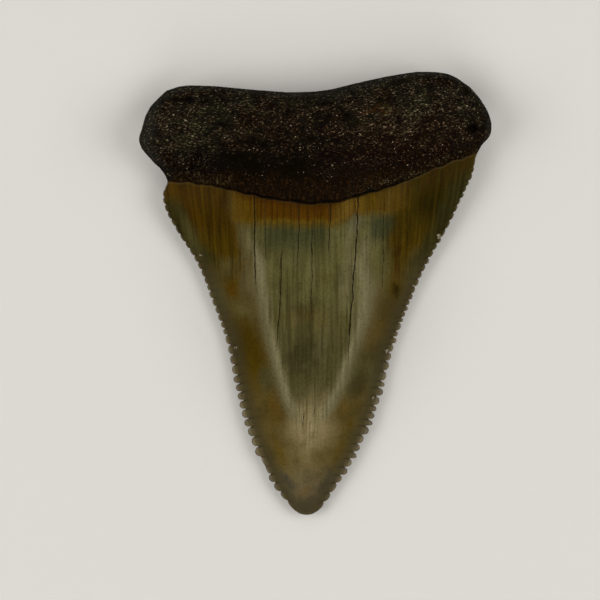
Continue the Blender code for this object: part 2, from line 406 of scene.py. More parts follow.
@dataclass(frozen=True)
class Crown:
    """Heights of the enamelled crown, along the middle and across."""

    crest: Curve = Curve((
        (-24.5, 1.45), (-23.0, 2.1), (-19.0, 3.3), (-13.9, 4.7), (-7.0, 5.7), (0.0, 6.3),
        (6.0, 6.6), (11.0, 6.7), (16.0, 6.5),
    ))
    cutting_edge: Curve = Curve((
        (-24.5, 1.15), (-15.0, 1.35), (0.0, 1.5), (7.0, 2.0), (12.0, 2.8), (16.0, 3.3),
    ))
    outer_face: Curve = Curve((
        (-24.5, 1.0), (-20.0, 0.5), (-15.0, 0.12), (-11.5, -0.06), (-5.5, -0.06), (0.0, 0.1),
        (4.0, 0.36), (8.0, 0.55), (10.5, 0.45), (13.5, -0.05), (16.0, -0.12), (19.5, -0.1),
        (25.0, 0.0),
    ))
    left_ridge: Curve = Curve((
        (-24.5, 0.04), (-17.0, 0.05), (-14.2, 0.15), (-11.6, 0.31), (-8.0, 0.42), (-4.1, 0.49),
        (0.2, 0.49), (6.3, 0.48), (16.0, 0.55),
    ))
    right_ridge: Curve = Curve((
        (-24.5, 0.04), (-17.0, 0.05), (-14.2, 0.15), (-11.6, 0.32), (-8.0, 0.43), (-4.1, 0.51),
        (0.2, 0.49), (3.0, 0.43), (6.3, 0.42), (16.0, 0.5),
    ))
    panel_dip: Curve = Curve((
        (-24.5, 0.0), (-14.5, 0.0), (-9.0, 0.28), (0.0, 0.34), (8.0, 0.12), (16.0, 0.0),
    ))
    ridge_rounding: Curve = Curve((
        (-24.5, 0.25), (-15.0, 0.5), (-10.0, 0.22), (0.0, 0.3), (8.0, 0.9), (16.0, 1.2),
    ))
    outer_curve: float = 2.4
    flank_hollow: float = 1.25
    blade_thickness: float = 0.3
    blade_rounding: float = 0.22
    roof_rise: float = 3.0
    groove_depth: float = 0.9
    groove_width: float = 5.0
    groove_part: Ramp = Ramp(11.0, 17.0)
    worn_depth: float = 0.15

    def ridge(self, u: Array, y: Array) -> Array:
        """Share of the half width at which the ridge on this side of the tooth runs."""
        return np.where(u < 0, self.left_ridge.at(y), self.right_ridge.at(y))

    def inner_section(self, u: Array, y: Array, from_edge: Array) -> Array:
        """Find the inner face's height above the cutting edge: panel, ridges and flanks.

        Args:
            u: Place across, from -1 at the left edge to 1 at the right.
            y: Place along the tooth.
            from_edge: Distance from the nearest edge.

        Returns:
            The height of each point.
        """
        crest = self.crest.at(y) - self.cutting_edge.at(y)
        ridge = self.ridge(u, y)
        t = np.abs(u)
        dip = self.panel_dip.at(y) * np.maximum(1 - (t / ridge) ** 2, 0.0)
        flank = crest * (np.maximum(1 - t, 0.0) / (1 - ridge)) ** self.flank_hollow
        rounding = np.minimum(self.ridge_rounding.at(y), crest)
        roof = np.maximum(soft_least(crest - dip, flank, rounding), 0.0)
        blade = self.blade_thickness * (1 - np.exp(-from_edge / self.blade_rounding))
        return roof * (1 - np.exp(-self.roof_rise * from_edge)) + blade

    def outer_height(self, x: Array, y: Array) -> Array:
        """Height of the outer face along the middle, with the groove between the lobes."""
        middle = np.exp(-((x / self.groove_width) ** 2))
        return self.outer_face.at(y) + self.groove_depth * self.groove_part.at(y) * middle

    def worn_flat(self, z: Array, edge: Array) -> Array:
        """A height of the outer face, with its lowest parts worn down to the table's plane."""
        return np.maximum(z - self.worn_depth, 0.0) * edge / (edge - self.worn_depth)


@dataclass(frozen=True)
class Root:
    """The root's outline and its thick dome with two blunt lobes."""

    top: Curve = Curve((
        (-16.3, 22.3), (-14.8, 22.75), (-12.0, 22.8), (-7.0, 22.4), (-2.0, 22.1), (1.0, 22.3),
        (4.5, 23.1), (8.5, 23.95), (12.0, 24.35), (15.0, 23.9), (16.9, 22.7),
    ))
    rim_z: float = 4.3
    lobe_z: float = 8.3
    middle_rise: float = 1.9
    middle_width: float = 7.5
    neck_length: float = 0.55
    dome_powers: tuple[float, float] = (4.0, 3.2)
    outer_powers: tuple[float, float] = (6.0, 5.0)
    outer_blend: Ramp = Ramp(0.0, 0.3)
    lip_height: float = 0.28
    lip_length: float = 0.26
    lip_fade: float = 4.0
    lump_height: float = 0.22
    lump_size: float = 3.0
    vessel_hole: tuple[float, float] = (17.1, 18.1)
    vessel_hole_radius: float = 0.55
    vessel_hole_depth: float = 1.1
    vessel_hole_steepness: float = 2.6
    # The reach of the painted shade in the vessel hole.
    vessel_hole_shade: float = 0.75
    half_width: float = 18.0
    neck_height: Curve = Curve((
        (-17.0, 0.6), (-12.0, 0.8), (-8.0, 1.8), (-3.0, 2.6), (3.0, 2.6), (7.0, 1.8), (11.0, 0.8),
        (18.0, 0.6),
    ))
    rim_width: Curve = Curve((
        (-19.2, 1.7), (-16.5, 1.3), (-13.5, 0.7), (-4.0, 0.7), (3.0, 1.1), (8.0, 0.7), (19.3, 0.6),
    ))

    def from_hole(self, x: Array, y: Array, radius: float) -> Array:
        """How far points in plan are from the vessel hole's middle, counted in a radius."""
        hole_x, hole_y = self.vessel_hole
        return np.hypot(x - hole_x, y - hole_y) / radius

    def from_rim(self, u: Array, x: Array, y: Array) -> Array:
        """Find how far points of the root are from its outline.

        Args:
            u: Place across, from -1 to 1.
            x: Place across, in millimetres.
            y: Place along the tooth.

        Returns:
            The distance in plan, as a share of the rim's width there.
        """
        sides = self.half_width * (1 - np.abs(u))
        top = self.top.at(x) - y
        return np.maximum(np.minimum(sides, top), 0.0) / self.rim_width.at(x)


@dataclass(frozen=True)
class BoneRelief:
    """The root's grains, pores, broad lumps and the fibres of its neck, in millimetres."""

    grains: Waves = Waves((0.75, 0.6, 0.75), 3)
    grain_height: float = 0.085
    pores: Waves = Waves((0.9, 0.7, 0.9), 2, (31.0, 31.0, 31.0))
    pore_depth: float = 0.13
    pore_part: Ramp = Ramp(0.25, 0.6)
    lumps: Waves = Waves((2.6, 2.2, 2.6), 2, (57.0, 57.0, 57.0))
    lump_height: float = 0.1
    fibres: Waves = Waves((0.5, 4.0, 1.0), 1, (11.0, 44.0, 11.0))
    fibre_height: float = 0.03
    off_rim: Ramp = Ramp(0.3, 1.2)
    rim_least: float = 0.25
    off_neck: Ramp = Ramp(0.6, 1.4)
    neck_foot: Ramp = Ramp(0.2, 0.7)
    neck_top: Ramp = Ramp(1.6, 3.0)

    def height(self, places: Array, above: Array, up_neck: Array, from_rim: Array) -> Array:
        """Find how far points of the root stand out of its smooth form.

        Args:
            places: One place a row.
            above: How far each is above the enamel's border.
            up_neck: The same, as a share of the neck's height.
            from_rim: How far each is from the outline, as a share of the rim's width.

        Returns:
            The height of each point.
        """
        rim = self.off_rim.at(from_rim)
        open_part = self.off_neck.at(up_neck) * lerp(self.rim_least, 1.0, rim)
        neck = self.neck_foot.at(above) * (1 - self.neck_top.at(above))
        pores = self.pore_part.at(self.pores.at(places))
        bumps = self.grain_height * self.grains.at(places) - self.pore_depth * pores
        lumps = self.lump_height * self.lumps.at(places) * rim
        return open_part * bumps + lumps + self.fibre_height * neck * self.fibres.at(places)


@dataclass
class Outline:
    """The tooth seen from above: its two sides and the enamel's border on each face."""

    left: SerratedEdge
    right: SerratedEdge
    root: Root
    border: Curve = Curve((
        (-16.3, 12.4), (-13.1, 12.1), (-9.3, 11.3), (-6.0, 10.6), (0.5, 9.85), (4.8, 10.7),
        (9.5, 12.2), (13.2, 13.8), (17.85, 15.6),
    ))
    outer_border_bow: float = 1.3
    border_bow_power: int = 4
    tip_rounding: float = 0.65
    tip_rounding_fade: float = 12.0
    bead_reach: float = 0.6
    # Two uneven waves of the border: a share of the height, the pace, and how far and how fast
    # that pace swings.
    border_waves: tuple[tuple[float, float, float, float], ...] = (
        (1.0, 1.7, 1.9, 0.9), (0.5, 4.3, 2.0, 1.1),
    )
    border_wave_height: float = 0.07
    border_wave_part: Ramp = Ramp(0.0, 0.12)

    @property
    def root_height(self) -> float:
        """How tall the root stands above the enamel's border in the middle."""
        middle = np.zeros(1)
        return float(self.root.top.at(middle)[0] - self.border.at(middle)[0])

    def border_bow(self, u: Array, inner: Array) -> Array:
        """How far the enamel's border lies above the straight line between its ends.

        Args:
            u: Place across, from -1 to 1.
            inner: Whether each point is on the inner face.

        Returns:
            The rise of the border at each point.
        """
        share = 0.5 * (u + 1)
        x = lerp(self.border.anchors[0][0], self.border.anchors[-1][0], share)
        waves = np.zeros_like(x)
        for size, pace, swing, beat in self.border_waves:
            waves += size * np.sin(pace * x + swing * np.sin(beat * x))
        waves *= self.border_wave_height * self.border_wave_part.at(1 - np.abs(u))
        inner_bow = self.border.at(x) - lerp(self.left.top_y, self.right.top_y, share) + waves
        return np.where(inner, inner_bow, self.outer_border_bow * 4 * share * (1 - share) + waves)

    def below_border(self, x: Array, y: Array, inner: Array) -> Array:
        """Find how far points are below the enamel's border.

        Args:
            x: Place across, in millimetres.
            y: Place along the tooth.
            inner: Whether each point is on the inner face.

        Returns:
            The distance along the tooth, negative on the root.
        """
        low, high = self.border.anchors[0][0], self.border.anchors[-1][0]
        share = np.clip((x - low) / (high - low), 0.0, 1.0)
        u = 2 * share - 1
        straight = lerp(self.left.top_y, self.right.top_y, share)
        return straight + self.border_bow(u, inner) - y

    def chord(self, u: Array, left_y: Array, right_y: Array) -> tuple[Array, ...]:
        """Place points on straight lines from the left side to the right one.

        Args:
            u: Place across, from -1 to 1.
            left_y: How far along the left side each point's line starts.
            right_y: How far along the right side it ends.

        Returns:
            x and y of each point, and the length of its line.
        """
        left_x, right_x = self.left.side.at(left_y), self.right.side.at(right_y)
        across = 0.5 * (u + 1)
        x, y = lerp(left_x, right_x, across), lerp(left_y, right_y, across)
        return x, y, np.hypot(right_x - left_x, right_y - left_y)

    def crown_plan(self, u: Array, rows: Array, inner: Array) -> tuple[Array, ...]:
        """Place points of the crown in plan.

        Args:
            u: Place across, from -1 to 1.
            rows: Row of the crown, from 0 at the tip to CROWN_ROWS at the enamel's border.
            inner: Whether each point is on the inner face.

        Returns:
            x and y of each point, and the tooth's width at its row.
        """
        reach = rows / CROWN_ROWS
        left_y, right_y = self.left.heights(rows), self.right.heights(rows)
        x, y, width = self.chord(u, left_y, right_y)
        tip_bow = -self.tip_rounding * np.sqrt(np.clip(1 - u * u, 0.0, 1.0))
        y = y + tip_bow * np.maximum(1 - self.tip_rounding_fade * reach, 0.0) ** 2
        y = y + self.border_bow(u, inner) * reach**self.border_bow_power
        for edge, edge_y in ((self.left, left_y), (self.right, right_y)):
            inside = 0.5 * width * (1 - edge.sign * u)
            push = edge.bulge(rows) * np.exp(-inside / self.bead_reach)
            out_x, out_y = edge.outward(edge_y)
            x, y = x + out_x * push, y + out_y * push
        return x, y, width

    def root_plan(self, u: Array, reach: Array, inner: Array) -> tuple[Array, ...]:
        """Place points of the root in plan.

        Args:
            u: Place across, from -1 to 1.
            reach: Share of the way from the enamel's border to the top of the root.
            inner: Whether each point is on the inner face.

        Returns:
            x and y of each point, and the root's width at its height.
        """
        left_y = lerp(self.left.top_y, self.left.side.anchors[-1][0], reach)
        right_y = lerp(self.right.top_y, self.right.side.anchors[-1][0], reach)
        x, y, width = self.chord(u, left_y, right_y)
        across = 0.5 * (u + 1)
        tops = self.root.top.anchors
        top_x = lerp(tops[0][0], tops[-1][0], across)
        top_bow = self.root.top.at(top_x) - lerp(tops[0][1], tops[-1][1], across)
        return x, y + self.border_bow(u, inner) * (1 - reach) + top_bow * reach, width


def column_place(share: Array) -> Array:
    """Place across the tooth for an even share from -1 to 1, crowded towards the edges."""
    return lerp(share, np.sin(0.5 * math.pi * share), EDGE_CROWDING)


def column_share(place: Array) -> Array:
    """The even share from -1 to 1 that column_place turns into a place across the tooth."""
    shares = np.linspace(-1.0, 1.0, CROWDING_SAMPLES)
    return np.interp(place, column_place(shares), shares)


def root_reaches(root: Root, height: float) -> Array:
    """Lay out the root's rows.

    Args:
        root: The root's sizes.
        height: How tall the root stands above the enamel's border in the middle.

    Returns:
        The share of the way up of each row: even steps over the lip, then closer to the top.
    """
    lip = root.lip_length / height
    lip_rows = np.linspace(0.0, lip, LIP_ROWS + 1)
    shares = np.arange(1, ROOT_ROWS + 1) / ROOT_ROWS
    return np.concatenate([lip_rows, lerp(lip, 1.0, np.sin(0.5 * math.pi * shares**TOP_CROWDING))])


class Tone(Enum):
    """The tooth's colours, as sRGB hex values."""

    TIP = "#564B34"
    TIP_SHADE = "#3A362A"
    TAN = "#4E411D"
    SAND = "#675B39"
    CREAM_HIGHLIGHT = "#857756"
    HAY = "#463916"
    STRAW = "#544F2C"
    OLIVE = "#464022"
    PALE = "#625D42"
    RIDGE_PALE_AND_SHEEN = "#6E674A"
    MOSS = "#2C290F"
    SLATE = "#32331C"
    KHAKI = "#342B12"
    DEEP_AMBER = "#2B2200"
    MIST = "#5E5C4C"
    AMBER = "#433301"
    HONEY = "#4D3A04"
    CHESTNUT = "#3B2800"
    BROWN = "#332701"
    ORANGE = "#442A00"
    APRICOT = "#5C4514"
    RUST = "#3A2000"
    RIM = "#352F1C"
    PEARL_AND_HIGHLIGHT = "#5E5545"
    PEARL_HEART = "#50462F"
    LIP_HIGHLIGHT = "#5C4A2A"
    FLAKE = "#7E735E"
    DIRT_AND_SHADE = "#1A1206"
    MUTED = "#C2C0AC"
    LINE = "#86825F"
    WARMED = "#FFCFB2"
    BLACK_AND_SHADE = "#060403"
    EARTH = "#120E08"
    UMBER = "#1E170D"
    PLUM_SHADE = "#060400"
    RED_EARTH = "#100802"
    GREEN_EARTH = "#17160B"
    BRICK = "#180C05"
    SLATY_SHEEN = "#1C1C17"
    GRAIN_TAN = "#4C432C"
    GRAIN_OLIVE = "#3A361D"
    GRAIN_RED = "#3E2C1A"
    GLINT = "#9C8C74"


class Blend(Enum):
    """How a coat's tone meets the colour below it."""

    COVER = "MIX"
    DARKEN = "MULTIPLY"


class Painter:
    """Adds nodes to a new material or world, and keeps the signals that its coats follow."""

    def __init__(self, owner: bpy.types.ID, recipes: dict[str, Any] | None = None) -> None:
        """Open the nodes of a new material or world, which come with a shader.

        Args:
            owner: The material or world.
            recipes: How each signal is made, by its name.
        """
        owner.use_nodes = True
        self.tree = owner.node_tree
        self.shader = next(node for node in self.tree.nodes if "Output" not in node.name)
        self.recipes = recipes or {}
        self.made: dict[str, Socket] = {}

    def wire(self, node: bpy.types.Node, inputs: dict[int | str, Any]) -> None:
        """Fill in a node's inputs.

        Args:
            node: The node.
            inputs: A socket to link or a value to set for each input, by its name or number.
        """
        for key, value in inputs.items():
            if isinstance(value, Socket):
                self.tree.links.new(value, node.inputs[key])
            else:
                node.inputs[key].default_value = value

    def add(
        self,
        kind: str,
        inputs: dict[int | str, Any],
        out: int | str = 0,
        stops: tuple[tuple[float, Tone], ...] = (),
        **settings: Any,
    ) -> Socket:
        """Add a node with its settings and links.

        Args:
            kind: The node's type, without the ShaderNode in front.
            inputs: A socket or a value for each input, by its name or number.
            out: Which output to give back.
            stops: For a colour ramp, its places and tones.
            settings: The node's own properties.

        Returns:
            The output socket.
        """
        node = self.tree.nodes.new("ShaderNode" + kind)
        for name, value in settings.items():
            setattr(node, name, value)
        for number, (place, tone) in enumerate(stops):
            elements = node.color_ramp.elements
            # A new ramp comes with two stops.
            element = elements[number] if number < 2 else elements.new(place)
            element.position = place
            element.color = linear(tone.value)
        self.wire(node, inputs)
        return node.outputs[out]

    def signal(self, name: str) -> Socket:
        """Give a signal by its name, and make it at its first use.

        Args:
            name: The name of one of the recipes, or else of one of the mesh's attributes.

        Returns:
            The socket that carries it.
        """
        if name not in self.made and name in self.recipes:
            self.made[name] = self.recipes[name].weave(self)
        elif name not in self.made:
            self.made[name] = self.add("Attribute", {}, "Fac", attribute_name=name)
        return self.made[name]


@dataclass(frozen=True)
class Step:
    """A signal that one node makes, from other signals by their names or from values."""

    kind: str
    inputs: tuple[tuple[int | str, Any], ...] = ()
    out: int | str = 0
    settings: tuple[tuple[str, Any], ...] = ()

    def weave(self, p: Painter) -> Socket:
        """Add the signal's node."""
        inputs = {key: p.signal(v) if isinstance(v, str) else v for key, v in self.inputs}
        return p.add(self.kind, inputs, self.out, **dict(self.settings))


@dataclass(frozen=True)
class Grain:
    """Noise from 0 to 1 with waves of real sizes in the place's unit, turned by degrees in plan."""

    sizes: Triple
    detail: float = 1.0
    turn: float = 0.0
    of: str = "place"

    def weave(self, p: Painter) -> Socket:
        """Add the signal's nodes.

        Args:
            p: The material's painter.

        Returns:
            The noise.
        """
        turned = (0.0, 0.0, math.radians(self.turn))
        layout = {"Vector": p.signal(self.of), "Rotation": turned, "Scale": self.sizes}
        seen = p.add("Mapping", layout, vector_type="TEXTURE")
        return p.add("TexNoise", {"Vector": seen, "Scale": 1.0, "Detail": self.detail})


@dataclass(frozen=True)
class Sum:
    """A gain times one signal plus an offset, added to a first signal where one is given."""

    second: str
    gain: float = 1.0
    offset: float = 0.0
    first: str = ""

    def weave(self, p: Painter) -> Socket:
        """Add the signal's nodes.

        Args:
            p: The material's painter.

        Returns:
            The sum.
        """
        terms = {0: p.signal(self.second), 1: self.gain, 2: self.offset}
        part = p.add("Math", terms, operation="MULTIPLY_ADD")
        if not self.first:
            return part
        return p.add("Math", {0: p.signal(self.first), 1: part}, operation="ADD")


@dataclass(frozen=True)
class Mask:
    """A share that rises from 0 to top as a signal goes from low to high, inside another mask."""

    reads: str
    low: float
    high: float
    top: float = 1.0
    within: str = ""

    def weave(self, p: Painter) -> Socket:
        """Add the signal's nodes.

        Args:
            p: The material's painter.

        Returns:
            The share.
        """
        limits = {
            "Value": p.signal(self.reads), "From Min": self.low, "From Max": self.high,
            "To Max": self.top,
        }
        share = p.add("MapRange", limits, interpolation_type="SMOOTHSTEP")
        if not self.within:
            return share
        return p.add("Math", {0: share, 1: p.signal(self.within)}, operation="MULTIPLY")


@dataclass(frozen=True)
class Patch:
    """A soft ellipse in plan: 1 in its core and 0 past its rim."""

    x: float
    y: float
    across: float
    along: float
    top: float = 0.85
    turn: float = 0.0
    core: float = 0.35
    rim: float = 1.35

    def weave(self, p: Painter) -> Socket:
        """Add the patch's nodes.

        Args:
            p: The material's painter.

        Returns:
            The share of the patch.
        """
        layout = {
            "Vector": p.signal("dragged"), "Location": (self.x, self.y, 0.0),
            "Rotation": (0.0, 0.0, math.radians(self.turn)),
            "Scale": (self.across, self.along, THROUGH),
        }
        centred = p.add("Mapping", layout, vector_type="TEXTURE")
        reach = p.add("VectorMath", {0: centred}, "Value", operation="LENGTH")
        limits = {"Value": reach, "From Min": self.rim, "From Max": self.core, "To Max": self.top}
        return p.add("MapRange", limits, interpolation_type="SMOOTHSTEP")


@dataclass(frozen=True)
class Coat:
    """A tone laid over the coats before it, as far as its mask or patch shows."""

    tone: Tone
    mask: Mask | Patch
    how: Blend = Blend.COVER

    def lay(self, p: Painter, colour: Socket) -> Socket:
        """Lay the tone over a colour, and give the new colour."""
        tone = linear(self.tone.value)
        inputs = {MIX_SHARE: self.mask.weave(p), MIX_BELOW: colour, MIX_ABOVE: tone}
        return p.add("Mix", inputs, MIX_RESULT, data_type="RGBA", blend_type=self.how.value)


# The signals that both finishes have: the place on the tooth, and the same place dragged about
# by the finish's own noise, so that no stain has a clean edge.
SHARED_RECIPES = {
    "place": Step("Attribute", (), "Vector", (("attribute_name", "place"),)),
    "shift": Step("CombineXYZ", (("X", "sway"), ("Y", "drag"))),
    "dragged": Step("VectorMath", ((0, "place"), (1, "shift")), 0, (("operation", "ADD"),)),
    "seen_x": Step("SeparateXYZ", (("Vector", "dragged"),), "X"),
    "seen_y": Step("SeparateXYZ", (("Vector", "dragged"),), "Y"),
}


class Finish:
    """A natural surface: a ground colour with coats on it, and a fine relief.

    Its roughness is given where it is smoothest and where it is most worn, and the depth of its
    relief in millimetres.
    """

    name: str
    roughness: tuple[float, float]
    ior: float
    specular: float
    relief_depth: float
    relief_strength: float = 0.8
    recipes: dict[str, Any]
    coats: tuple[Coat, ...]

    def ground(self, p: Painter) -> Socket:
        """The colour below the coats, which each finish gives in its own way."""
        raise NotImplementedError

    def paint(self) -> bpy.types.Material:
        """Build the material.

        Returns:
            The finished material.
        """
        material = bpy.data.materials.new(self.name)
        p = Painter(material, SHARED_RECIPES | self.recipes)
        colour = self.ground(p)
        for coat in self.coats:
            colour = coat.lay(p, colour)
        smooth, worn = self.roughness
        wear = {"Value": p.signal("wear"), "To Min": smooth, "To Max": worn}
        relief = {
            "Height": p.signal("relief"), "Strength": self.relief_strength,
            "Distance": self.relief_depth * MM,
        }
        p.wire(p.shader, {
            "Base Color": colour, "Roughness": p.add("MapRange", wear),
            "Normal": p.add("Bump", relief, "Normal"),
            "IOR": self.ior, "Specular IOR Level": self.specular,
        })
        return material


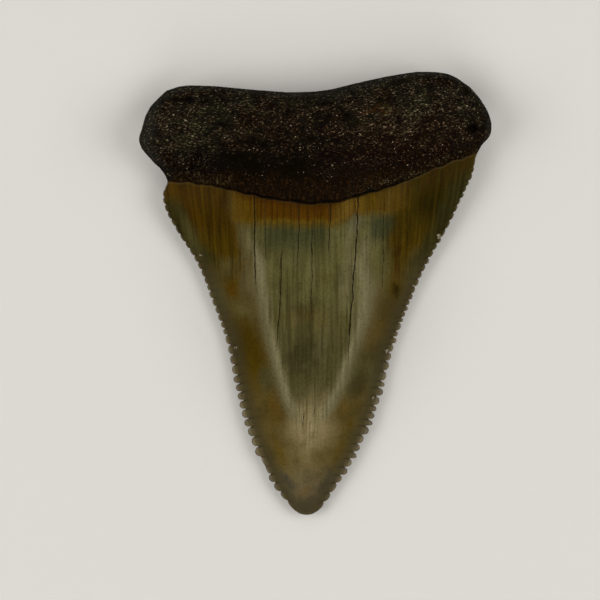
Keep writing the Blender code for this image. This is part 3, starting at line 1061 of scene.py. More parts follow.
class FossilEnamel(Finish):
    """Fossil tooth enamel, mineral-stained in the ground and polished by wear.

    To the eye it is a smooth, slightly waxy glaze over fine fibres that run up the crown, with
    colour that sits in it in bands and clouds and turns pale and clear along the thin edge.
    """

    name = "fossil_enamel_stained"
    roughness = (0.3, 0.5)
    ior = 1.62
    specular = 0.07
    relief_depth = 0.035
    # The ground tones from the tip to the border, each at its place along the tooth. The cream stop is
    # a painted highlight, where the panel turns down towards the tip.
    panel = (
        (-24.3, Tone.TIP), (-21.8, Tone.TIP), (-17.8, Tone.SAND), (-14.2, Tone.CREAM_HIGHLIGHT),
        (-11.0, Tone.OLIVE), (-5.0, Tone.OLIVE), (1.5, Tone.STRAW), (16.0, Tone.STRAW),
    )
    flank_tip = ((-24.3, Tone.TIP), (-21.5, Tone.TIP), (-18.5, Tone.TAN), (-12.5, Tone.TAN))
    left_flank = (
        *flank_tip, (-8.0, Tone.AMBER), (-2.0, Tone.HAY), (2.0, Tone.HAY), (5.0, Tone.AMBER),
        (8.0, Tone.CHESTNUT), (16.0, Tone.CHESTNUT),
    )
    right_flank = (
        *flank_tip, (-8.5, Tone.OLIVE), (-3.5, Tone.HAY), (2.0, Tone.HAY), (5.5, Tone.AMBER),
        (9.0, Tone.DEEP_AMBER), (16.0, Tone.DEEP_AMBER),
    )
    middle_blend = 0.8
    # Enamel fibres are far finer than these streaks, which are drawn as coarse as they show.
    recipes = {
        "fibres": Step("Attribute", (), "Vector", (("attribute_name", "fibre"),)),
        "x": Step("SeparateXYZ", (("Vector", "place"),), "X"),
        "y": Step("SeparateXYZ", (("Vector", "place"),), "Y"),
        "coarse": Grain((0.95, 22.0, 5.0), 1.0, of="fibres"),
        "fine": Grain((0.36, 9.0, 5.0), 1.0, of="fibres"),
        "hair": Grain((0.2, 5.0, 5.0), 1.0, of="fibres"),
        "gaps": Grain((0.5, 0.5, 5.0), 1.0, of="fibres"),
        "cloud": Grain((3.0, 3.6, 9.0), 3.0),
        "eddy": Grain((1.6, 1.9, 9.0), 2.0),
        "lip_shadow_line": Sum("eddy", 0.5, -0.25, "border"),
        "line_start": Mask("x", -11.5, -8.5),
        "line_part": Mask("x", 10.5, 8.0, 1.0, "line_start"),
        "right_end": Mask("x", 8.0, 10.5),
        "right_top": Mask("border", 3.4, 0.4, 1.0, "right_end"),
        "merge_zone": Patch(-1.2, -12.8, 1.7, 2.6, 1.0, 0.0, 0.1),
        "speck": Grain((0.24, 0.26, 0.3), 1.0),
        "sway": Sum("eddy", 1.4, -0.7),
        "drift": Sum("cloud", 3.4, -1.7),
        "drag": Sum("fine", 1.2, -0.6, "drift"),
        "frayed": Sum("coarse", 1.0, -0.5, "band"),
        "ragged": Sum("fine", 0.8, -0.4, "frayed"),
        "right_of_left_end": Mask("x", -9.6, -7.6),
        "left_base": Mask("x", 2.0, -2.0, 1.0, "base"),
        "streaked_x": Sum("coarse", 6.0, -3.0, "x"),
        "band_span": Mask("streaked_x", 10.6, 7.4, 1.0, "right_of_left_end"),
        "band_core": Mask("ragged", -0.1, 0.35, 1.0, "band_span"),
        "band_glow": Mask("ragged", 0.2, 0.8, 1.0, "band_span"),
        "warm_part": Mask("x", 3.4, 0.8, 1.0, "band_core"),
        "slate_start": Mask("x", -6.4, -4.8),
        "slate_span": Mask("x", 2.7, 0.4, 1.0, "slate_start"),
        "bead_part": Mask("bead_depth", 1.2, 0.6),
        "bead": Mask("lobe", 0.2, 0.7, 1.0, "bead_part"),
        "bead_highlight": Mask("eddy", 0.42, 0.6, 1.0, "bead"),
        "notch_part": Mask("bead_depth", 0.7, 0.1),
        "rim_part": Mask("y", 7.0, 0.0),
        "chip_part": Mask("chip", 0.05, 0.3),
        "panel_part": Mask("flank", 0.4, 0.0),
        "worn_edge": Sum("eddy", 2.0, -1.0, "edge"),
        "below_lip": Mask("border", 0.8, 3.0),
        "upper_part": Mask("y", 0.5, 4.5, 1.0, "below_lip"),
        "flaked": Sum("speck", 1.8, 0.0, "chip"),
        "crack_part": Mask("crack", 0.0, 0.12),
        "split": Sum("gaps", 1.6, -0.8, "crack"),
        "wear": Sum("cloud", 1.0),
        "soft_relief": Sum("fine", 0.5, 0.0, "speck"),
        "relief": Sum("hair", 0.5, 0.0, "soft_relief"),
    }
    coats = (
        # These four coats brighten the ridges: pale rubbed enamel with a painted highlight on it.
        Coat(Tone.PALE, Patch(-7.9, 4.2, 0.8, 4.0, 0.4, 0.0, 0.0)),
        Coat(Tone.RIDGE_PALE_AND_SHEEN, Patch(-7.0, 1.6, 0.7, 1.8, 0.3, 0.0, 0.0)),
        Coat(Tone.RIDGE_PALE_AND_SHEEN, Patch(4.0, 5.6, 1.1, 2.6, 0.45)),
        Coat(Tone.RIDGE_PALE_AND_SHEEN, Patch(3.6, 1.4, 1.3, 3.2, 0.75, 0.0, 0.0)),
        Coat(Tone.AMBER, Patch(9.6, 7.0, 1.2, 3.6, 0.7)),
        Coat(Tone.SLATE, Patch(7.2, 7.3, 1.5, 1.8, 0.8)),
        Coat(Tone.STRAW, Patch(7.1, 3.0, 1.2, 3.2, 0.6)),
        Coat(Tone.HONEY, Patch(-9.2, 0.7, 0.75, 1.2, 0.95, -14.0, 0.1)),
        Coat(Tone.HONEY, Patch(-8.2, 2.8, 0.4, 1.4, 0.5, -14.0, 0.1)),
        Coat(Tone.ORANGE, Patch(-9.1, 0.6, 0.5, 0.9, 0.6, -14.0, 0.1)),
        Coat(Tone.STRAW, Patch(-9.8, 3.2, 1.4, 1.4, 0.4, 0.0, 0.1)),
        Coat(Tone.STRAW, Patch(-7.8, -1.5, 1.8, 1.5, 0.5, 0.0, 0.1)),
        Coat(Tone.AMBER, Patch(-7.2, -6.0, 1.2, 2.9, 0.9, 6.0)),
        Coat(Tone.OLIVE, Patch(-5.4, -9.4, 0.9, 1.6, 0.8, 10.0)),
        Coat(Tone.TAN, Patch(-5.1, -12.8, 1.1, 2.2, 0.4, 12.0)),
        Coat(Tone.APRICOT, Patch(-4.4, -12.9, 0.9, 1.9, 0.75, 12.0, 0.1)),
        Coat(Tone.APRICOT, Patch(3.1, -12.6, 0.7, 1.2, 0.4, -16.0, 0.1)),
        Coat(Tone.HONEY, Patch(-4.0, -17.4, 0.6, 1.6, 0.5, 24.0, 0.1)),
        Coat(Tone.AMBER, Patch(8.5, 1.4, 1.0, 2.0, 0.55, 0.0, 0.1)),
        Coat(Tone.BROWN, Patch(8.8, 0.6, 0.7, 1.0, 1.0, 0.0, 0.2)),
        Coat(Tone.DIRT_AND_SHADE, Patch(8.8, 0.6, 0.4, 0.8, 0.5, 12.0, 0.1)),
        Coat(Tone.RUST, Patch(9.0, 3.8, 0.35, 1.9, 0.8, 0.0, 0.1)),
        Coat(Tone.BROWN, Patch(10.3, 2.2, 0.5, 0.6, 0.7)),
        Coat(Tone.TAN, Patch(5.9, -3.8, 1.2, 2.1, 0.8, -8.0)),
        Coat(Tone.OLIVE, Patch(4.7, -9.0, 1.1, 1.8, 0.85, -14.0)),
        Coat(Tone.KHAKI, Patch(4.8, -9.8, 1.1, 1.8, 0.75, -14.0)),
        Coat(Tone.KHAKI, Patch(6.8, -6.2, 0.8, 1.8, 0.5, -8.0)),
        Coat(Tone.KHAKI, Patch(8.2, -1.2, 0.9, 1.5, 0.45)),
        Coat(Tone.AMBER, Patch(2.8, -17.2, 0.6, 1.8, 0.5, -24.0, 0.1)),
        Coat(Tone.HONEY, Patch(3.6, -14.6, 0.4, 0.5, 0.6)),
        Coat(Tone.STRAW, Patch(10.9, 3.2, 0.9, 2.2, 0.4, -20.0)),
        Coat(Tone.STRAW, Patch(-11.0, -0.5, 1.2, 2.0, 0.5, 20.0)),
        Coat(Tone.TIP_SHADE, Patch(-3.1, -20.4, 0.6, 1.3, 0.8, 38.0)),
        Coat(Tone.TIP_SHADE, Patch(1.2, -21.0, 0.6, 1.5, 0.8, -38.0)),
        Coat(Tone.TIP_SHADE, Patch(-0.9, -23.0, 1.5, 0.5, 0.4)),
        Coat(Tone.APRICOT, Patch(-1.2, -21.7, 0.9, 0.6, 0.35)),
        # Painted highlight where the ridges meet and the panel turns down towards the tip.
        Coat(Tone.CREAM_HIGHLIGHT, Patch(-0.6, -13.2, 1.4, 2.6, 0.75, 0.0, 0.0, 1.6)),
        Coat(Tone.HAY, Patch(1.1, 2.0, 1.0, 0.9, 0.35)),
        Coat(Tone.OLIVE, Patch(-1.8, -10.6, 1.1, 1.8, 0.7)),
        # More of that painted highlight.
        Coat(Tone.CREAM_HIGHLIGHT, Patch(1.3, -11.2, 0.8, 1.5, 0.45, 0.0, 0.0)),
        Coat(Tone.TAN, Patch(-0.8, -2.6, 3.6, 0.9, 0.4)),
        Coat(Tone.SLATE, Patch(-0.6, -6.6, 2.6, 2.6, 0.35)),
        Coat(Tone.MUTED, Mask("cloud", 0.54, 0.36, 0.55), Blend.DARKEN),
        Coat(Tone.PALE, Mask("eddy", 0.56, 0.74, 0.12, "panel_part")),
        Coat(Tone.SLATE, Mask("ragged", -5.4, -1.1, 0.85, "slate_span")),
        Coat(Tone.HONEY, Mask("ragged", -0.9, 0.05, 0.75, "band_span")),
        Coat(Tone.APRICOT, Mask("ragged", -0.1, 0.35, 0.95, "band_span")),
        Coat(Tone.HONEY, Mask("x", 3.0, 6.5, 0.95, "band_core")),
        Coat(Tone.CHESTNUT, Mask("x", 5.5, 8.5, 0.6, "band_core")),
        Coat(Tone.MIST, Patch(4.3, 7.6, 0.9, 1.0, 0.35)),
        Coat(Tone.HONEY, Mask("x", 3.4, 0.8, 0.9, "band_core")),
        Coat(Tone.ORANGE, Mask("x", 3.4, 0.8, 1.0, "band_glow")),
        Coat(Tone.HONEY, Mask("x", -5.2, -7.4, 0.7, "band_core")),
        Coat(Tone.RUST, Mask("fine", 0.46, 0.3, 0.6, "warm_part")),
        Coat(Tone.RUST, Mask("hair", 0.46, 0.28, 0.5, "band_core")),
        Coat(Tone.RUST, Mask("border", 1.2, 0.1, 0.8, "warm_part")),
        # Pale rubbed enamel along the ridges, with a painted highlight on it.
        Coat(Tone.RIDGE_PALE_AND_SHEEN, Mask("speck", 0.05, 0.4, 0.95, "ridge")),
        Coat(Tone.SLATE, Patch(6.9, 6.8, 1.1, 2.2, 0.55)),
        Coat(Tone.STRAW, Patch(6.8, 4.0, 0.9, 2.0, 0.75)),
        Coat(Tone.HONEY, Mask("fine", 0.52, 0.7, 0.35, "base")),
        Coat(Tone.ORANGE, Mask("coarse", 0.48, 0.66, 0.25, "left_base")),
        Coat(Tone.RUST, Mask("fine", 0.46, 0.28, 0.35, "left_base")),
        Coat(Tone.CHESTNUT, Mask("fine", 0.6, 0.42, 0.8, "right_top")),
        Coat(Tone.BROWN, Mask("hair", 0.47, 0.3, 0.75, "base")),
        Coat(Tone.MOSS, Mask("worn_edge", 3.0, 1.2, 0.85, "upper_part")),
        Coat(Tone.STRAW, Patch(-13.7, 6.4, 0.9, 2.6, 0.35, 26.0, 0.0)),
        Coat(Tone.MUTED, Mask("coarse", 0.58, 0.38, 0.3, "fibrous"), Blend.DARKEN),
        Coat(Tone.MUTED, Mask("fine", 0.6, 0.36, 0.6, "fibrous"), Blend.DARKEN),
        Coat(Tone.LINE, Mask("hair", 0.44, 0.24, 0.5, "fibrous"), Blend.DARKEN),
        Coat(Tone.MUTED, Mask("speck", 0.56, 0.36, 0.35), Blend.DARKEN),
        Coat(Tone.OLIVE, Mask("hair", 0.54, 0.4, 0.75, "merge_zone")),
        Coat(Tone.RIM, Mask("edge", 2.2, 0.6, 0.8, "rim_part")),
        Coat(Tone.PEARL_HEART, Mask("lobe", 0.1, 0.6, 0.6, "bead_part")),
        # Pale translucent enamel round the beads' rims with a painted highlight on it, then a painted
        # highlight on some beads.
        Coat(Tone.PEARL_AND_HIGHLIGHT, Mask("bead_depth", 0.55, 0.2, 0.85, "bead")),
        Coat(Tone.CREAM_HIGHLIGHT, Mask("bead_depth", 0.6, 0.1, 0.35, "bead_highlight")),
        # Painted shade in the notches between the beads.
        Coat(Tone.DIRT_AND_SHADE, Mask("lobe", 0.4, 0.1, 0.4, "notch_part")),
        Coat(Tone.FLAKE, Mask("flaked", 1.55, 1.9, 1.0, "chip_part")),
        # Painted highlight: a thin pale line along the enamel's lip, just below the root.
        Coat(Tone.LIP_HIGHLIGHT, Mask("border", 0.3, 0.12, 0.2)),
        # Painted shadow that the root's lip casts along the enamel's border, ragged and darkest in the
        # middle.
        Coat(Tone.DIRT_AND_SHADE, Mask("lip_shadow_line", 0.14, 0.0, 0.5)),
        Coat(Tone.DIRT_AND_SHADE, Mask("lip_shadow_line", 0.2, 0.0, 0.9, "line_part")),
        # Cracks darkened: dirt in them, and painted shade that their narrow grooves cast.
        Coat(Tone.DIRT_AND_SHADE, Mask("split", 0.05, 0.4, 0.95, "crack_part")),
    )

    def ground(self, p: Painter) -> Socket:
        """Lay the ground colours of the panel and the two flanks, from tip to border.

        Args:
            p: The material's painter.

        Returns:
            The colour.
        """
        low, high = self.panel[0][0], self.panel[-1][0]
        reach = {"Value": p.signal("seen_y"), "From Min": low, "From Max": high}
        along = p.add("MapRange", reach)
        zones = []
        for zone in (self.panel, self.left_flank, self.right_flank):
            stops = tuple(((y - low) / (high - low), tone) for y, tone in zone)
            zones.append(p.add("ValToRGB", {"Fac": along}, stops=stops))
        panel, left, right = zones
        to_right = Mask("seen_x", -self.middle_blend, self.middle_blend).weave(p)
        flanks = {MIX_SHARE: to_right, MIX_BELOW: left, MIX_ABOVE: right}
        flank = p.add("Mix", flanks, MIX_RESULT, data_type="RGBA")
        inputs = {MIX_SHARE: p.signal("flank"), MIX_BELOW: panel, MIX_ABOVE: flank}
        return p.add("Mix", inputs, MIX_RESULT, data_type="RGBA")


class FossilRoot(Finish):
    """Fossil root bone, mineralised dark and etched by the ground.

    To the eye it is a rough, nearly black brown with countless pale grains that catch the light, rubbed
    smooth and grey round its rim with a painted sheen there, darker below its bulge with painted shade,
    and smooth and reddish just above the enamel.
    """

    name = "fossil_root_bone_etched"
    roughness = (0.42, 0.62)
    ior = 1.55
    specular = 0.04
    relief_depth = 0.2
    # The bone's pores are about 0.1 mm wide, drawn here two or three times as coarse.
    recipes = {
        "mottle": Grain((1.2, 0.9, 1.2), 5.0),
        "clump": Grain((3.6, 2.8, 3.6), 3.0),
        "hue": Grain((1.7, 1.2, 1.7), 3.0),
        "grit": Grain((0.3, 0.16, 0.2), 1.5, 8.0),
        "dust": Grain((0.2, 0.17, 0.2), 0.0),
        "strands": Grain((0.2, 0.9, 0.6), 1.0),
        "threads": Grain((0.75, 0.26, 1.5), 2.5, 28.0),
        "sway": Sum("clump", 4.4, -2.2),
        "drag": Sum("mottle", 2.6, -1.3),
        "above": Sum("clump", 1.6, -0.8, "neck"),
        "rubbed_sheen_rim": Sum("clump", 1.6, -0.8, "rim"),
        "ragged_border": Sum("mottle", 1.4, -0.7, "border"),
        "off_neck": Mask("above", 0.8, 1.25),
        "on_neck": Mask("above", 1.3, 0.8),
        "left_part": Mask("seen_x", 6.0, 0.0),
        "catch": Mask("mottle", 0.3, 0.56, 1.0, "off_neck"),
        "red_part": Mask("hue", 0.48, 0.4, 1.0, "catch"),
        "olive_part": Mask("hue", 0.52, 0.6, 1.0, "catch"),
        "glinting": Mask("mottle", 0.46, 0.62, 1.0, "off_neck"),
        "thread_zone": Patch(8.8, 18.6, 4.2, 2.2, 1.0, 16.0),
        "lip_zone": Patch(-12.4, 12.6, 3.6, 0.6, 1.0, -9.0),
        "right_part": Mask("seen_x", 3.0, 6.0),
        "right_lip": Mask("ragged_border", -1.3, -0.5, 1.0, "right_part"),
        "line_start": Mask("seen_x", -11.5, -8.5),
        "line_part": Mask("seen_x", 10.5, 8.0, 1.0, "line_start"),
        "rim_zone": Mask("rubbed_sheen_rim", 1.2, 0.5),
        "wear": Sum("off_neck", 1.0),
        "soft_relief": Sum("dust", 0.5, 0.0, "grit"),
        "relief": Mask("soft_relief", 0.0, 1.6, 1.0, "off_neck"),
    }
    coats = (
        Coat(Tone.GREEN_EARTH, Mask("hue", 0.53, 0.64, 0.6)),
        Coat(Tone.RED_EARTH, Mask("hue", 0.47, 0.36, 0.8)),
        # Grey round the rim and the right lobe's end: bone rubbed smooth there, with a painted sheen on
        # it.
        Coat(Tone.SLATY_SHEEN, Mask("rubbed_sheen_rim", 1.4, 0.4, 0.8)),
        Coat(Tone.SLATY_SHEEN, Patch(16.4, 15.9, 1.9, 1.1, 0.8, 30.0, 0.0, 1.6)),
        Coat(Tone.RUST, Patch(7.0, 19.9, 1.9, 0.5, 0.35)),
        Coat(Tone.BRICK, Patch(10.0, 16.0, 7.5, 2.8, 0.6, 12.0, 0.0)),
        Coat(Tone.GRAIN_TAN, Mask("grit", 0.54, 0.73, 0.75, "catch")),
        Coat(Tone.GRAIN_RED, Mask("grit", 0.54, 0.7, 0.7, "red_part")),
        Coat(Tone.GRAIN_OLIVE, Mask("grit", 0.52, 0.7, 0.7, "olive_part")),
        Coat(Tone.GLINT, Mask("grit", 0.62, 0.82, 0.5, "catch")),
        Coat(Tone.BLACK_AND_SHADE, Mask("grit", 0.47, 0.32, 0.85, "off_neck")),
        Coat(Tone.GRAIN_TAN, Mask("threads", 0.56, 0.7, 0.55, "thread_zone")),
        Coat(Tone.GLINT, Mask("threads", 0.64, 0.76, 0.55, "thread_zone")),
        Coat(Tone.WARMED, Patch(11.5, 16.9, 6.5, 3.0, 0.35, 10.0), Blend.DARKEN),
        Coat(Tone.BLACK_AND_SHADE, Patch(9.5, 16.2, 6.5, 2.6, 0.25, 12.0, 0.0, 1.5)),
        Coat(Tone.WARMED, Mask("above", 5.4, 1.6, 0.7), Blend.DARKEN),
        # Painted shade: these three coats darken the lower root where its bulge turns down towards the
        # neck, most on the left.
        Coat(Tone.BLACK_AND_SHADE, Mask("above", 4.4, 1.2, 0.45)),
        Coat(Tone.BLACK_AND_SHADE, Mask("above", 4.4, 1.6, 0.5, "left_part")),
        Coat(Tone.BLACK_AND_SHADE, Patch(-12.0, 14.9, 4.4, 1.0, 0.6, -4.0)),
        Coat(Tone.RED_EARTH, Mask("above", 1.7, 0.7, 0.9)),
        Coat(Tone.RUST, Mask("strands", 0.5, 0.76, 0.24, "on_neck")),
        Coat(Tone.BLACK_AND_SHADE, Mask("strands", 0.5, 0.34, 0.5, "on_neck")),
        Coat(Tone.GRAIN_RED, Mask("grit", 0.58, 0.74, 0.5, "on_neck")),
        # Painted shade under the middle of the bulge, near black.
        Coat(Tone.BLACK_AND_SHADE, Patch(-5.4, 13.9, 5.4, 1.4, 0.45, -3.0, 0.0, 1.5)),
        Coat(Tone.PLUM_SHADE, Patch(-7.6, 14.0, 2.6, 1.5, 0.7, -6.0, 0.1)),
        Coat(Tone.PLUM_SHADE, Patch(-2.6, 13.4, 2.2, 1.7, 0.6, 0.0, 0.1)),
        # More of the painted sheen round the rim, with glints on it.
        Coat(Tone.SLATY_SHEEN, Mask("rubbed_sheen_rim", 1.1, 0.3, 0.2)),
        Coat(Tone.GLINT, Mask("dust", 0.62, 0.82, 0.15, "rim_zone")),
        Coat(Tone.GRAIN_RED, Mask("grit", 0.48, 0.7, 0.5, "lip_zone")),
        Coat(Tone.GRAIN_TAN, Mask("strands", 0.54, 0.72, 0.55, "lip_zone")),
        Coat(Tone.GRAIN_TAN, Mask("dust", 0.56, 0.76, 0.6, "right_lip")),
        Coat(Tone.GLINT, Mask("dust", 0.74, 0.86, 0.9, "glinting")),
        # Painted shadow along the border, where the root's lip overhangs the enamel, ragged.
        Coat(Tone.BLACK_AND_SHADE, Mask("ragged_border", -0.3, -0.06, 0.4)),
        Coat(Tone.BLACK_AND_SHADE, Mask("ragged_border", -0.36, -0.08, 0.9, "line_part")),
        # Painted shade in the vessel hole.
        Coat(Tone.BLACK_AND_SHADE, Mask("hole", 0.15, 0.8, 0.7)),
    )

    def ground(self, p: Painter) -> Socket:
        """The dark, mottled colour of the bone between its grains."""
        stops = ((0.3, Tone.BLACK_AND_SHADE), (0.44, Tone.EARTH), (0.66, Tone.UMBER))
        return p.add("ValToRGB", {"Fac": p.signal("mottle")}, stops=stops)


@dataclass(frozen=True)
class CrownZones:
    """Where the ridges are rubbed pale under a painted highlight, the flanks' colours begin, and stains
    and fibres show.

    The limits are places along the tooth or distances from the ridge, in millimetres. The right ridge's
    pale band and painted highlight are broader, and further in on the panel where its shift applies.
    """

    ridge_low: Ramp = Ramp(-15.0, -12.5)
    ridge_high: Ramp = Ramp(8.0, 3.0)
    panel_reach: tuple[float, float] = (0.5, 0.8)
    flank_reach: tuple[float, float] = (0.8, 1.1)
    right_broad: Ramp = Ramp(-7.0, -1.0)
    right_shift: float = 0.9
    right_shifted: Ramp = Ramp(0.0, 4.0)
    flank_spread: tuple[float, float] = (0.9, 3.2)
    flank_spread_tip: Ramp = Ramp(-12.0, -15.5)
    flank_spread_more: float = 0.9
    flank_spread_base: Ramp = Ramp(-2.0, 4.0)
    flank_overlap: float = 0.6
    base: Ramp = Ramp(-0.5, 6.0)
    base_flank: Ramp = Ramp(-0.5, 2.2)
    fibrous_panel: Ramp = Ramp(-18.5, -13.5)
    fibrous_flank: Ramp = Ramp(-0.3, 1.2)
    fibrous_least: float = 0.1

    def shares(self, u: Array, y: Array, off_ridge: Array, inner: Array) -> dict[str, Array]:
        """Find how far points of the tooth are in each zone.

        Args:
            u: Place across, from -1 to 1.
            y: Place along the tooth.
            off_ridge: How far each point is outside the ridge, negative on the panel.
            inner: Whether each point is on the inner face.

        Returns:
            The shares, by the name of the attribute that keeps them.
        """
        right = u > 0
        broad = self.right_broad.at(y) * right
        on_panel, on_flank = lerp(*self.panel_reach, broad), lerp(*self.flank_reach, broad)
        reach = np.where(off_ridge < 0, on_panel, on_flank)
        rubbed_and_lit = off_ridge + self.right_shift * self.right_shifted.at(y) * right
        spread = lerp(*self.flank_spread, self.flank_spread_tip.at(y))
        spread = spread + self.flank_spread_more * self.flank_spread_base.at(y)
        overlap = self.flank_overlap
        base = self.base.at(y)
        flank = self.fibrous_flank.at(off_ridge)
        panel = self.fibrous_panel.at(y) * (1 - flank)
        shown = self.ridge_high.at(y) * self.ridge_low.at(y) * inner
        return {
            # The ridges' pale rubbed band, which also carries a painted highlight.
            "ridge": np.exp(-((rubbed_and_lit / reach) ** 2)) * shown,
            "flank": np.clip((off_ridge + overlap) / (spread + overlap), 0.0, 1.0),
            "base": base * self.base_flank.at(off_ridge),
            "fibrous": np.maximum(panel, lerp(self.fibrous_least, 1.0, base) * flank),
        }


@dataclass
class Tooth:
    """The whole tooth: one closed mesh with its enamel and its root bone."""

    outline: Outline
    crown: Crown
    root: Root
    cracks: tuple[Crack, ...]
    chips: tuple[Chip, ...]
    zones: CrownZones = CrownZones()
    bone_relief: BoneRelief = BoneRelief()
    # The enamel's fine flutes, which fade out at its edges, and the groove along its border.
    flute_height: float = 0.03
    flutes: Waves = Waves((0.9, 12.0, 1.0), 2)
    fluted_edge: Ramp = Ramp(0.3, 1.6)
    fluted_border: Ramp = Ramp(0.0, 0.4)
    border_groove_depth: float = 0.1
    border_groove_width: float = 0.13
    border_groove_edge: Ramp = Ramp(0.0, 0.6)
    tip_reach: float = 0.5
    # Notches and domes of the beads: how high, how far inward, and where they start.
    notch_depth: float = 0.2
    full_relief: float = 0.46
    notch_reach: float = 0.4
    notch_start: float = 0.12
    dome_share: float = 0.7
    dome_reach: float = 0.36
    dome_start: float = 0.1
    chip_start: float = 0.15
    # The fan of the enamel's fibres, the size of the beads' colours, and the warm band's lower
    # edge.
    fibre_fan: float = 0.15
    fibre_fan_from: float = 7.0
    fibre_fan_part: Ramp = Ramp(7.0, 16.0)
    bead_width: float = 0.95
    least_bead: float = 0.15
    band_line: Curve = Curve((
        (-9.0, 7.9), (-5.0, 7.8), (0.0, 7.7), (2.8, 7.85), (4.2, 8.6), (7.6, 8.9), (9.5, 9.2),
    ))

    def build(self) -> bpy.types.Object:
        """Make the mesh and its attributes, and dress it.

        Returns:
            The finished object.
        """
        self.reaches = root_reaches(self.root, self.outline.root_height)
        self.rows = CROWN_ROWS + LIP_ROWS + ROOT_ROWS
        mesh = self.flat_plan()
        self.bend(mesh)
        self.sew(mesh)
        self.roughen(mesh)
        self.mark(mesh)
        tooth = stand(PIECE, mesh)
        mesh.materials.append(FossilEnamel().paint())
        mesh.materials.append(FossilRoot().paint())
        mesh.shade_smooth()
        return tooth

    def flat_plan(self) -> bpy.types.Mesh:
        """Make both faces as flat grids, with the cracks cut into the inner one.

        Returns:
            A mesh whose x is the place across, y the place along, and z which face it is.
        """
        mesh = bpy.data.meshes.new(PIECE)
        grid = {"x_segments": COLUMNS, "y_segments": self.rows, "size": 1.0}
        border = 2 * CROWN_ROWS / self.rows - 1
        with editing(mesh) as bm:
            bmesh.ops.create_grid(bm, **grid)
            for crack in self.cracks:
                self.cut(bm, crack)
            inner = set(bm.faces)
            outer = bmesh.ops.create_grid(bm, **grid)
            bmesh.ops.translate(bm, verts=outer["verts"], vec=(0.0, 0.0, Face.OUTER.value))
            bmesh.ops.reverse_faces(bm, faces=[face for face in bm.faces if face not in inner])
            for face in bm.faces:
                above = face.calc_center_median().y > border
                face.material_index = (Surface.ROOT if above else Surface.ENAMEL).value
        return mesh

    def flatten(self, x: Array, y: Array) -> tuple[Array, Array]:
        """Find where points of the inner crown, given in plan, lie on the flat grid.

        Args:
            x: Places across the tooth, in millimetres.
            y: Places along it.

        Returns:
            The grid's place across, from -1 to 1, and the row.
        """
        inner = np.ones_like(x, bool)
        low = self.outline.left.side.anchors[0][0]
        rows = (y - low) / self.outline.left.length * CROWN_ROWS
        u = np.zeros_like(x)
        for _ in range(FLATTEN_ROUNDS):
            got_x, got_y, width = self.outline.crown_plan(u, rows, inner)
            u = np.clip(u + 2 * (x - got_x) / width, -FARTHEST_ACROSS, FARTHEST_ACROSS)
            rows = rows + (y - got_y) / self.outline.left.length * CROWN_ROWS
            rows = np.clip(rows, 0.0, CROWN_ROWS)
        return column_share(u), rows

    def crack_line(self, crack: Crack) -> tuple[Array, Array, Array]:
        """Lay a crack out on the flat grid.

        Args:
            crack: The crack.

        Returns:
            Its rows, its middle and its half width at each, in the grid's own units.
        """
        x, y = crack.line()
        across, rows = self.flatten(x, y)
        beside = self.flatten(x + PROBE, y)[0]
        whole = np.arange(round(rows[0]), min(round(rows[-1]), CROWN_ROWS) + 1, CUT_ROWS)
        per_mm = np.interp(whole, rows, (beside - across) / PROBE)
        return whole, np.interp(whole, rows, across), crack.half_widths(whole, per_mm)

    def cut(self, bm: bmesh.types.BMesh, crack: Crack) -> None:
        """Cut the middle and the two lips of a crack into the flat grid.

        Args:
            bm: The flat inner face.
            crack: The crack.
        """
        rows, middle, half = self.crack_line(crack)
        heights = 2 * rows / self.rows - 1
        near = [
            face for face in bm.faces
            if heights[0] < (place := face.calc_center_median()).y < heights[-1]
            and abs(place.x - np.interp(place.y, heights, middle)) < CUT_REACH
        ]
        for i in range(len(rows) - 1):
            strip = [f for f in near if heights[i] < f.calc_center_median().y < heights[i + 1]]
            for side in (-1, 0, 1):
                start = Vector((middle[i] + side * half[i], heights[i], 0.0))
                end = Vector((middle[i + 1] + side * half[i + 1], heights[i + 1], 0.0))
                along = end - start
                verts = {vert for face in strip for vert in face.verts}
                edges = {edge for face in strip for edge in face.edges}
                cut = bmesh.ops.bisect_plane(
                    bm, geom=[*verts, *edges, *strip], dist=CUT_PRECISION,
                    plane_co=start, plane_no=(along.y, -along.x, 0.0),
                )
                strip = [part for part in cut["geom"] if isinstance(part, bmesh.types.BMFace)]

    def read(self, mesh: bpy.types.Mesh, name: str = "position") -> Array:
        """Read an attribute of three numbers, which is each point's place if none is named."""
        return triples(mesh.attributes[name].data)

    def write(self, mesh: bpy.types.Mesh, name: str, values: Array) -> None:
        """Keep values on the mesh's points.

        Args:
            mesh: The mesh.
            name: The attribute, which is made where the mesh doesn't have it.
            values: One number or one row of three for each point.
        """
        kind = "FLOAT" if values.ndim == 1 else "FLOAT_VECTOR"
        layer = mesh.attributes.get(name) or mesh.attributes.new(name, kind, "POINT")
        layer.data.foreach_set("value" if values.ndim == 1 else "vector", values.ravel())

    def bend(self, mesh: bpy.types.Mesh) -> None:
        """Bend the flat plan into the two faces of the tooth, in metres.

        Args:
            mesh: The flat plan. Its own places are kept in the attribute "plan".
        """
        plan = self.read(mesh)
        u = column_place(plan[:, 0])
        rows = 0.5 * (plan[:, 1] + 1) * self.rows
        inner = plan[:, 2] > 0.5 * (Face.INNER.value + Face.OUTER.value)
        is_crown = rows < CROWN_ROWS + ROW_SLACK
        kept = np.column_stack([u, rows, inner])
        points = np.empty_like(plan)
        points[is_crown] = self.bend_crown(*kept[is_crown].T)
        points[~is_crown] = self.bend_root(*kept[~is_crown].T)
        self.write(mesh, "plan", kept)
        self.write(mesh, "position", points * MM)

